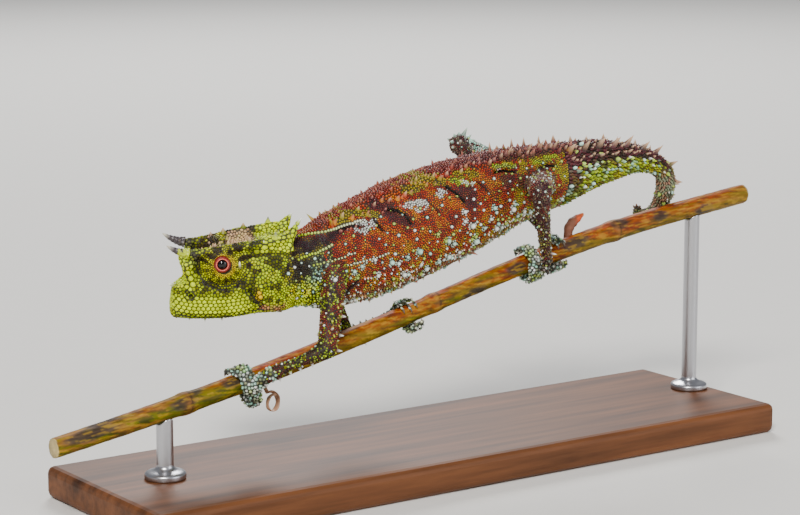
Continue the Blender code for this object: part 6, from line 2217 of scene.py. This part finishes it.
@dataclass(frozen=True)
class Finishes:
    """Every finish of the model."""

    skin: Finish = Finish("hide_skin", 0.62, grain_scale=5200.0, grain_strength=0.5)
    head: Finish = Finish("hide_head", 0.5, specular=0.12, grain_scale=5200.0, grain_strength=0.25)
    body: Finish = Finish("hide_body", 0.4, specular=0.25, grain_scale=6200.0, grain_strength=0.2)
    spine: Finish = Finish("hide_spine", 0.45, grain_scale=6000.0, grain_strength=0.25)
    horn: Finish = Finish("horn_keratin", 0.38, grain_scale=4200.0, grain_strength=0.5, grain_depth=0.00006)
    claw: Finish = Finish("claw_keratin", 0.3, colour=(96, 84, 70), grain_scale=5000.0)
    cornea: Finish = Finish("eye_cornea", 0.05, colour=(4, 3, 4), grain_strength=0.0, shade_range=0.05)
    lid: Finish = Finish("eye_lid", 0.34, grain_scale=5200.0, grain_strength=0.3)
    bark: Finish = Finish(
        "stem_bark", 0.6, specular=0.2, bumps=Bumps.FIBRE, grain_scale=1500.0, grain_strength=0.6,
        grain_depth=0.00016, shade_range=0.75, stretch=(0.09, 1.0, 1.0), turn=(0.0, math.radians(11.6), 0.0),
    )
    curl: Finish = Finish(
        "stem_curl", 0.6, colour=(168, 128, 100), bumps=Bumps.FIBRE, grain_scale=2600.0, grain_strength=0.5,
        shade_range=0.5,
    )
    wood: Finish = Finish(
        "walnut", 0.5, specular=0.2, colour=(96, 58, 32), bumps=Bumps.FIBRE, grain_scale=620.0,
        grain_strength=0.25, grain_depth=0.0001, shade_range=2.6, stretch=(0.06, 1.0, 1.0),
    )
    steel: Finish = Finish(
        "satin_steel", 0.3, colour=(190, 190, 194), metallic=1.0, grain_scale=3000.0, grain_strength=0.12,
        shade_range=0.12, stretch=(1.0, 1.0, 0.03),
    )
    floor: Finish = Finish(
        "studio_floor", 0.85, colour=(226, 224, 219), grain_scale=240.0, grain_strength=0.05,
        shade_range=0.03,
    )


@dataclass
class Eyes:
    """The two eyeballs and the bare rims of their lids."""

    head: HeadForm
    ball_radius: float = 0.68
    centre_out: float = 3.47
    rim: tuple = (
        (0.52, 3.9), (0.545, 4.02), (0.58, 4.08), (0.62, 4.1), (0.66, 4.08), (0.69, 4.04), (0.72, 4.02),
        (0.76, 4.05), (0.81, 4.03), (0.86, 3.95), (0.9, 3.8), (0.9, 3.55),
    )
    rose: tuple = (226, 104, 84)
    blood: tuple = (112, 14, 8)
    bulge: float = 1.06
    wrinkles: int = 19

    def frame_of(self, side: Side) -> tuple[Array, Array]:
        """The eye's middle line: a place on it, and its direction outwards."""
        forward, _, up = self.head.eye_place
        return self.head.place((forward, 0, up)), self.head.way((0.05, side.value, 0.06))

    def eyeball(self, side: Side) -> bpy.types.Mesh:
        """The glossy ball behind the lids, with a slightly raised clear front."""
        base, out = self.frame_of(side)
        made = bmesh.new()
        bmesh.ops.create_uvsphere(made, u_segments=48, v_segments=28, radius=self.ball_radius * MM)
        for vert in made.verts:
            if vert.co.z > 0:
                vert.co.z *= self.bulge
        self.settle(made, base + out * self.centre_out, out)
        return finished(made, "eye")

    @staticmethod
    def settle(made: bmesh.types.BMesh, place: Array, out: Array) -> None:
        """Turns a shape's own height to point outwards, and moves it to its place."""
        turn = Vector(out).to_track_quat("Z", "Y").to_matrix()
        bmesh.ops.rotate(made, cent=(0, 0, 0), matrix=turn, verts=made.verts)
        bmesh.ops.translate(made, vec=Vector(place) * MM, verts=made.verts)

    def lid(self, side: Side) -> bpy.types.Mesh:
        """The ring of bare lid, spun from its section."""
        base, out = self.frame_of(side)
        made = bmesh.new()
        verts = [made.verts.new((radius * MM, 0, height * MM)) for radius, height in self.rim]
        edges = [made.edges.new(pair) for pair in zip(verts, verts[1:])]
        bmesh.ops.spin(
            made, geom=verts + edges, cent=(
                0, 0, 0
            ), axis=(0, 0, 1), angle=math.tau, steps=72, use_merge=True
        )
        bmesh.ops.recalc_face_normals(made, faces=made.faces)
        if sum(face.normal.z for face in made.faces) < 0:
            bmesh.ops.reverse_faces(made, faces=made.faces)
        radii = np.array([math.hypot(vert.co.x, vert.co.y) for vert in made.verts]) / MM
        waves = np.sin(np.array([math.atan2(vert.co.y, vert.co.x) for vert in made.verts]) * self.wrinkles)
        for vert, radius, wave in zip(made.verts, radii, waves):
            vert.co.z += 0.012 * MM * wave * min(1.0, radius)
        self.settle(made, base, out)
        mesh = finished(made, "lid")
        rose, blood = linear(self.rose), linear(self.blood)
        # Rose, with a blood red outer ring; near black at the inner edge, painted shade where the lid meets
        # the eyeball.
        tint = blend(blend(rose, blood, ramp(radii, 0.655, 0.7)), blood * 0.3, fall(radii, 0.53, 0.57))
        # Lighter on the raised wrinkles and darker between them: painted light and shade following the
        # wrinkles' small relief.
        tint *= 1 + 0.16 * waves[:, None]
        set_tint(mesh, tint)
        mesh.shade_smooth()
        return mesh


@dataclass
class Horns:
    """The two brow horns: bent cones with lengthwise ridges."""

    head: HeadForm
    stations: int = 40
    sides: int = 28
    ridges: int = 7
    radius_places: tuple = (-0.15, 0.3, 0.7, 1.0)
    tip_radius: float = 0.02

    def mesh(self, side: Side) -> bpy.types.Mesh:
        """One horn, from inside the brow to its tip."""
        line = self.head.horn_line(side, self.stations)
        t = np.linspace(0.0, 1.0, self.stations)
        radii = Track(tuple(zip(self.radius_places, self.head.horn_radii))).at(t)
        radii[-1] = self.tip_radius
        angles = turns(self.sides)
        rings = []
        for point, radius, share, (_, out, rise) in zip(line, radii, t, carried_frames(line, (0, 0, 1))):
            knobs = 0.16 * np.cos(angles * self.ridges + 2.2 * math.sin(share * 15)) * (1 - share) ** 2
            ripple = 1 + knobs + 0.06 * math.sin(share * 38)
            rings.append(point + wheel(out, rise, angles) * (radius * ripple)[:, None])
        mesh = loft(rings)
        points = coordinates(mesh)
        share = np.linalg.norm(points - line[0], axis=1) / np.linalg.norm(line[-1] - line[0])
        speckle = cloud(points, 3.4)
        dark, pale = linear((64, 56, 58)), linear((190, 184, 164))
        root, reach = (linear((180, 196, 8)), 0.5) if side is Side.LEFT else (linear((92, 80, 60)), 0.2)
        tint = blend(root, dark, ramp(share + 0.35 * speckle, reach - 0.15, reach))
        set_tint(mesh, blend(tint, pale, ramp(share, 0.66, 0.95)))
        return in_metres(mesh)


@dataclass
class Claws:
    """The claws at the ends of the digits."""

    animal: Animal
    length: float = 0.45

    def mesh(self) -> bpy.types.Mesh:
        """Every claw, each a small hooked cone."""
        made = bmesh.new()
        for grip in self.animal.grips():
            for points, radii in grip.digits():
                way = unit(points[-1] - points[-2])
                centre = self.animal.stem.centre(float(points[-1][0]))
                inward = unit(centre - points[-1])
                t = np.linspace(0.0, 1.0, 8)[:, None]
                line = points[-1] - way * 0.12 + way * self.length * t + inward * 0.22 * t**2
                wide = radii[-1] * 0.52 * (1 - t[:, 0]) ** 0.8 + 0.015
                claw = tube(line, wide, 10)
                made.from_mesh(claw)
                bpy.data.meshes.remove(claw)
        bmesh.ops.scale(made, vec=(MM, MM, MM), verts=made.verts)
        mesh = finished(made, "claws")
        mesh.shade_smooth()
        return mesh


@dataclass
class Perch:
    """The cut stem with its scars, its bud and a dry curl of sheath."""

    form: StemForm
    stations: int = 620
    sides: int = 44
    blotches: tuple = (
        (-43.0, 0.5, 3.4), (-41.5, 1.6, 2.6), (-32.2, 0.4, 2.0), (-30.8, 1.3, 1.4), (-26.0, 0.7, 1.6),
        (-9.5, 2.8, 1.2), (5.5, -0.6, 2.2), (11.5, 0.3, 1.6), (20.0, 0.5, 2.4), (27.0, 0.9, 1.8),
        (33.0, 0.4, 1.4), (40.0, -0.4, 1.7),
    )
    bud_line: tuple = (
        (20.5, 0.9, 23.5), (20.8, 1.15, 24.7), (21.5, 1.3, 25.4), (22.4, 1.4, 25.85), (23.2, 1.5, 26.2),
    )
    bud_radii: tuple = (0.5, 0.56, 0.58, 0.42, 0.16)
    curl_x: float = -22.6
    curl_turns: float = 1.12

    def stem(self) -> bpy.types.Mesh:
        """The stem itself, ridged along its length, with flat cut ends."""
        form = self.form
        places = np.linspace(-form.end, form.end, self.stations)
        angles = turns(self.sides)
        rings = []
        for x in places:
            along = form.way(x)
            out = unit(np.cross(along, (0, 0, 1)))
            rise = np.cross(out, along)
            bulge = 0.02 * np.sin(angles * 9 + 0.3 * x) + 0.014 * np.sin(angles * 17 - 0.17 * x)
            ring = form.centre(x) + wheel(out, rise, angles) * (form.radius(x) + bulge)[:, None]
            if abs(x) == form.end:
                ring[:, 0] = x
            rings.append(ring)
        mesh = loft(rings)
        points = coordinates(mesh)
        rough = self.fibre(points, 0.35, 2.2) * 0.03 + self.fibre(points, 0.2, 6.0) * 0.015
        centre = np.column_stack([points[:, 0], form.line.at(points[:, 0])])
        off = unit(points - centre)
        inner = np.abs(points[:, 0]) < form.end - 0.05
        points += off * (rough * inner)[:, None]
        set_coordinates(mesh, points * MM)
        set_tint(mesh, self.tint(points, off))
        mesh.shade_smooth()
        mesh.update()
        return mesh

    @staticmethod
    def fibre(points: Array, stretch: float, scale: float, shift: float = 0.0) -> Array:
        """Noise drawn out along the stem."""
        return cloud(points * np.array([stretch, 1, 1]), scale, shift)

    def tint(self, points: Array, off: Array) -> Array:
        """The stem's colours: olive and orange along it, with dark worn blotches."""
        x = points[:, 0]
        streak = self.fibre(points, 0.07, 1.9)
        fine = self.fibre(points, 0.14, 4.4, 4.0)
        patch = self.fibre(points, 0.5, 0.35, 2.0)
        lower = ramp(-x, 18.0, 30.0)
        olive, orange = linear((124, 100, 0)), linear((160, 64, 0))
        tan, grey, dark = linear((150, 98, 42)), linear((78, 68, 62)), linear((36, 28, 22))
        green = linear((96, 104, 0))
        warm = ramp(0.8 * streak + 0.8 * patch + 0.5 * off[:, 2] - 0.5 * lower, -0.5, 0.7)
        tint = blend(olive, orange, warm)
        mossy = ramp(-streak + patch + 0.5 * lower, 0.0, 0.5) * ramp(-off[:, 2] + 0.6 * lower, -0.5, 0.5)
        tint = blend(tint, green, mossy * 0.8)
        tint = blend(tint, tan, ramp(-x, 26.0, 34.0) * ramp(fine + streak, -0.2, 0.3) * 0.7)
        tint = blend(tint, tan, ramp(x, 22.0, 34.0) * ramp(fine, -0.2, 0.4) * 0.5)
        around = np.arctan2(off[:, 2], -off[:, 1])
        for place, turn, length in self.blotches:
            gap = np.abs((around - turn + math.pi) % math.tau - math.pi)
            cover = np.exp(-(((x - place) / length) ** 2 + (gap / 0.75) ** 2) ** 1.5 * 1.2)
            tint = blend(tint, grey, ramp(cover + 0.35 * streak + 0.2 * fine, 0.3, 0.7) * 0.75)
            tint = blend(tint, dark, ramp(cover + 0.4 * fine, 0.55, 0.95) * 0.6)
        for joint in self.form.joints:
            tint = blend(tint, tan, bell(x, joint, 0.5) * 0.6)
            tint = blend(tint, dark, bell(x, joint + 0.25, 0.14) * 0.7)
        flat = ramp(np.abs(x), self.form.end - 0.06, self.form.end - 0.01)
        tint = blend(tint, linear((206, 184, 130)), flat)
        thread = self.fibre(points, 0.14, 4.6, 6.0)
        tint = blend(tint, dark, ramp(thread + 0.3 * patch, 0.12, 0.3) * (1 - flat) * 0.5)
        straw = ramp(-thread + 0.3 * streak, 0.14, 0.32) * (1 - flat) * 0.45
        tint = blend(tint, linear((190, 150, 30)), straw)
        return tint * (0.78 + 0.3 * fine)[:, None]

    def bud(self) -> bpy.types.Mesh:
        """The side bud, wrapped in two scales."""
        t = np.linspace(0, len(self.bud_line) - 1, 30)
        points = Track(tuple(enumerate(self.bud_line))).at(t)
        radii = Track(tuple(enumerate(self.bud_radii))).at(t) * (1 + 0.06 * np.sin(t * 7.0))
        mesh = tube(points, radii, 24)
        places = coordinates(mesh)
        share = ramp(places[:, 0], 20.6, 23.4)
        red, brown, tip = linear((196, 84, 44)), linear((120, 76, 58)), linear((214, 120, 70))
        tint = blend(brown, red, ramp(share + 0.3 * cloud(places, 2.5), 0.2, 0.6))
        set_tint(mesh, blend(tint, tip, ramp(share, 0.8, 1.0)))
        return in_metres(mesh)

    def curl(self) -> bpy.types.Mesh:
        """The dry curl that hangs under the stem: a thin ribbon rolled on itself."""
        hang = self.form.centre(self.curl_x) + np.array([0.4, -0.5, -0.8])
        centre = hang + np.array([0.62, -0.5, -1.85])
        t = np.linspace(0.0, 1.0, 90)
        angle = math.radians(115.0) - math.tau * self.curl_turns * t
        wide, tall = 0.85 - 0.18 * t, 1.08 - 0.2 * t
        loop = centre + np.column_stack([np.cos(angle) * wide, -0.75 * t, np.sin(angle) * tall])
        line = np.concatenate([[hang + (0, 0.1, 0.35), hang], loop])
        share = np.linspace(0.0, 1.0, len(line))
        thin = 0.09 + 0.03 * np.sin(share * 21.0)
        broad = 0.42 * (1 - 0.5 * share) + 0.04 * np.sin(share * 33.0)
        return in_metres(loft(oval_rings(line, thin, broad, 16, (1.0, 0.0, 0.3))))


@dataclass
class Stand:
    """The display stand: the base, and the two turned posts that hold the stem."""

    stem: StemForm
    base: str = "stand_base"
    posts: tuple = (("front", -34.0), ("rear", 39.0))
    base_top: float = 3.52
    sides: int = 48
    foot: tuple = (
        (2.08, 0.0), (2.16, 0.02), (2.2, 0.08), (2.2, 0.16), (2.2, 0.46), (2.18, 0.55), (2.1, 0.64),
        (1.92, 0.74), (1.66, 0.83), (1.38, 0.92), (1.16, 1.02), (1.0, 1.16), (0.92, 1.34), (0.9, 1.55),
    )
    cradle: tuple = (
        (0.9, 0.3), (0.9, 0.14), (0.88, 0.05), (0.82, 0.01), (0.7, 0.0), (0.4, 0.0), (0.12, 0.0)
    )
    rest: float = 0.04

    def under_stem(self, x: Array, y: Array) -> Array:
        """The height of the stem's underside over each place."""
        middle = self.stem.line.at(x)
        radius = np.array([self.stem.radius(float(place)) for place in x])
        slope = math.hypot(1.0, self.stem.way(float(x.mean()))[2])
        return (
            middle[:, 1] - np.sqrt(np.maximum(radius**2 - (y - middle[:, 0]) ** 2, 0.0)) * slope - self.rest
        )

    def post(self, x: float) -> bpy.types.Mesh:
        """One post: a turned bell foot, a slim shaft, and a top hollowed to the stem's curve."""
        angles = turns(self.sides)
        y = float(self.stem.centre(x)[1])
        rings = []
        for number, (radius, height) in enumerate(self.foot + self.cradle):
            xs, ys = x + radius * np.cos(angles), y + radius * np.sin(angles)
            if number < len(self.foot):
                level = np.full(self.sides, self.base_top + height)
            else:
                level = self.under_stem(xs, ys) - height
            rings.append(np.column_stack([xs, ys, level]))
        return in_metres(loft(rings))

    def dress(self, finishes: Finishes) -> None:
        """Gives the base its wood."""
        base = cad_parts[self.base]
        if isinstance(base, str):
            base = bpy.data.objects[base]
        base.data.materials.clear()
        base.data.materials.append(finishes.wood.material())


@dataclass
class Studio:
    """The pale floor, the soft lights and the camera."""

    lens: float = 110.0
    azimuth: float = -35.0
    elevation: float = 10.0
    distance: float = 0.270
    target: tuple = (-0.004, 0.0, 0.024)
    floor_size: float = 1.6
    sky: tuple = (0.9, 0.93, 1.0, 1.0)
    sky_strength: float = 0.32
    lights: tuple = (
        ("key", (-0.42, -0.42, 0.5), 0.2, 7.0, (1.0, 0.97, 0.93)),
        ("fill", (0.35, -0.6, 0.25), 0.5, 2.0, (0.95, 0.97, 1.0)),
        ("rim", (0.3, 0.5, 0.45), 0.3, 4.0, (1.0, 1.0, 1.0)),
    )

    def way_back(self) -> Vector:
        """The direction from the target to the camera."""
        a, e = math.radians(self.azimuth), math.radians(self.elevation)
        return Vector((math.sin(a) * math.cos(e), -math.cos(a) * math.cos(e), math.sin(e)))

    def floor(self, finish: Finish) -> None:
        """A wide flat pale floor."""
        made = bmesh.new()
        bmesh.ops.create_grid(made, x_segments=24, y_segments=24, size=self.floor_size)
        mesh = finished(made, "studio_floor")
        obj = link("studio_floor", mesh)
        mesh.materials.append(finish.material())

    def light(self, name: str, place: Sequence[float], size: float, power: float, colour: tuple) -> None:
        """One soft area light that faces the object."""
        lamp = bpy.data.lights.new(name, "AREA")
        lamp.shape = "DISK"
        lamp.size = size
        lamp.energy = power
        lamp.color = colour
        obj = link(name, lamp)
        obj.location = place
        obj.rotation_euler = (Vector(self.target) - Vector(place)).to_track_quat("-Z", "Y").to_euler()

    def build(self, finish: Finish) -> None:
        """Adds the floor, the lights, the sky and the camera."""
        self.floor(finish)
        for lamp in self.lights:
            self.light(*lamp)
        world = bpy.data.worlds.new("studio_sky")
        world.use_nodes = True
        background = world.node_tree.nodes["Background"]
        background.inputs["Color"].default_value = self.sky
        background.inputs["Strength"].default_value = self.sky_strength
        bpy.context.scene.world = world
        camera = bpy.data.cameras.new("camera")
        camera.lens = self.lens
        camera.sensor_width = 36.0
        camera.clip_start = 0.01
        obj = link("camera", camera)
        back = self.way_back()
        obj.location = Vector(self.target) + back * self.distance
        obj.rotation_euler = (-back).to_track_quat("-Z", "Y").to_euler()
        bpy.context.scene.camera = obj


@dataclass
class Model:
    """Builds every piece and hides the solids that each one stands for."""

    animal: Animal = field(default_factory=Animal)
    finishes: Finishes = field(default_factory=Finishes)

    def add(self, name: str, mesh: bpy.types.Mesh, finish: Finish, nodes: Sequence[str], slot: str) -> None:
        """Makes a finished piece from a mesh.

        Args:
            name: the piece's name.
            mesh: its mesh, in metres.
            finish: what it is dressed in.
            nodes: the solids that it stands for.
            slot: not used.
        """
        obj = link(name, mesh)
        mesh.materials.clear()
        mesh.materials.append(bpy.data.materials.get(finish.name) or finish.material())
        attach(obj, BODY)
        if nodes:
            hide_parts(*nodes)
        log.info("%s: %d faces", name, len(mesh.polygons))

    def hide(self) -> None:
        """The skin, its scales and its spines."""
        rng = np.random.default_rng(SEED)
        paint = Paint(self.animal)
        skin = Skin(self.animal, paint)
        obj = skin.build()
        obj.data.materials.append(self.finishes.skin.material())
        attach(obj, BODY)
        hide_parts(*FLESH_NODES)
        log.info("skin: %d faces", len(obj.data.polygons))
        coat = Coat(self.animal, skin, paint, rng)
        seeds = coat.seeds()
        near = coat.neighbours(seeds.place, 14)
        trunk = np.isin(seeds.region, TRUNK)
        left = seeds.place[:, 1] < 0
        limb_nodes = [n for n in FLESH_NODES if n.rsplit("_")[-1] in ("left", "right")]
        groups = (
            ("scales_head", seeds.region == Region.HEAD, True, ("head",), "head_skin"),
            ("scales_body_left", trunk & left, False, ("neck", "torso"), "body_skin"),
            ("scales_body_right", trunk & ~left, False, ("neck", "torso"), "body_skin"),
            ("scales_tail", seeds.region == Region.TAIL, True, FLESH_NODES[3:7], "tail_skin"),
            ("scales_limbs", np.isin(seeds.region, LIMBS), False, limb_nodes, "limb_skin"),
            ("scales_feet", seeds.region >= Region.HAND_LEFT, False, limb_nodes, "limb_skin"),
        )
        for name, chosen, plates, nodes, slot in groups:
            mesh = coat.mesh(name, seeds, chosen, near, 9 if plates else 8, plates)
            finish = self.finishes.head if name == "scales_head" else self.finishes.body
            self.add(name, mesh, finish, nodes, slot)
        spines = Spines(self.animal, skin, paint, rng).build()
        self.add("spines", spines, self.finishes.spine, FLESH_NODES, "body_skin")

    def build(self) -> None:
        """Every piece of the model."""
        self.hide()
        eyes, horns = Eyes(self.animal.head), Horns(self.animal.head)
        for side in Side:
            eye, horn = ("eye_" + side.label,), ("horn_" + side.label,)
            self.add("eyeball_" + side.label, eyes.eyeball(side), self.finishes.cornea, eye, "eye")
            self.add("eyelid_" + side.label, eyes.lid(side), self.finishes.lid, eye, "head_skin")
            self.add("brow_horn_" + side.label, horns.mesh(side), self.finishes.horn, horn, "horn")
        hands = [n for n in FLESH_NODES if n.startswith(("hand", "foot"))]
        self.add("claws", Claws(self.animal).mesh(), self.finishes.claw, hands, "horn")
        perch, node = Perch(self.animal.stem), ("perch_stem",)
        self.add("stem", perch.stem(), self.finishes.bark, node, "plant_stem")
        self.add("stem_bud", perch.bud(), self.finishes.bark, node, "plant_stem")
        self.add("stem_curl", perch.curl(), self.finishes.curl, node, "plant_stem")
        stand = Stand(self.animal.stem)
        stand.dress(self.finishes)
        for place, x in stand.posts:
            rod = ("stand_rod_" + place,)
            self.add("stand_post_" + place, stand.post(x), self.finishes.steel, rod, "stand_steel")


def main() -> None:
    """Builds the scene: the studio and the dressed model."""
    logging.basicConfig(level=logging.INFO, format="%(message)s")
    Studio().build(Finishes().floor)
    Model().build()


if __name__ == "__main__":
    main()
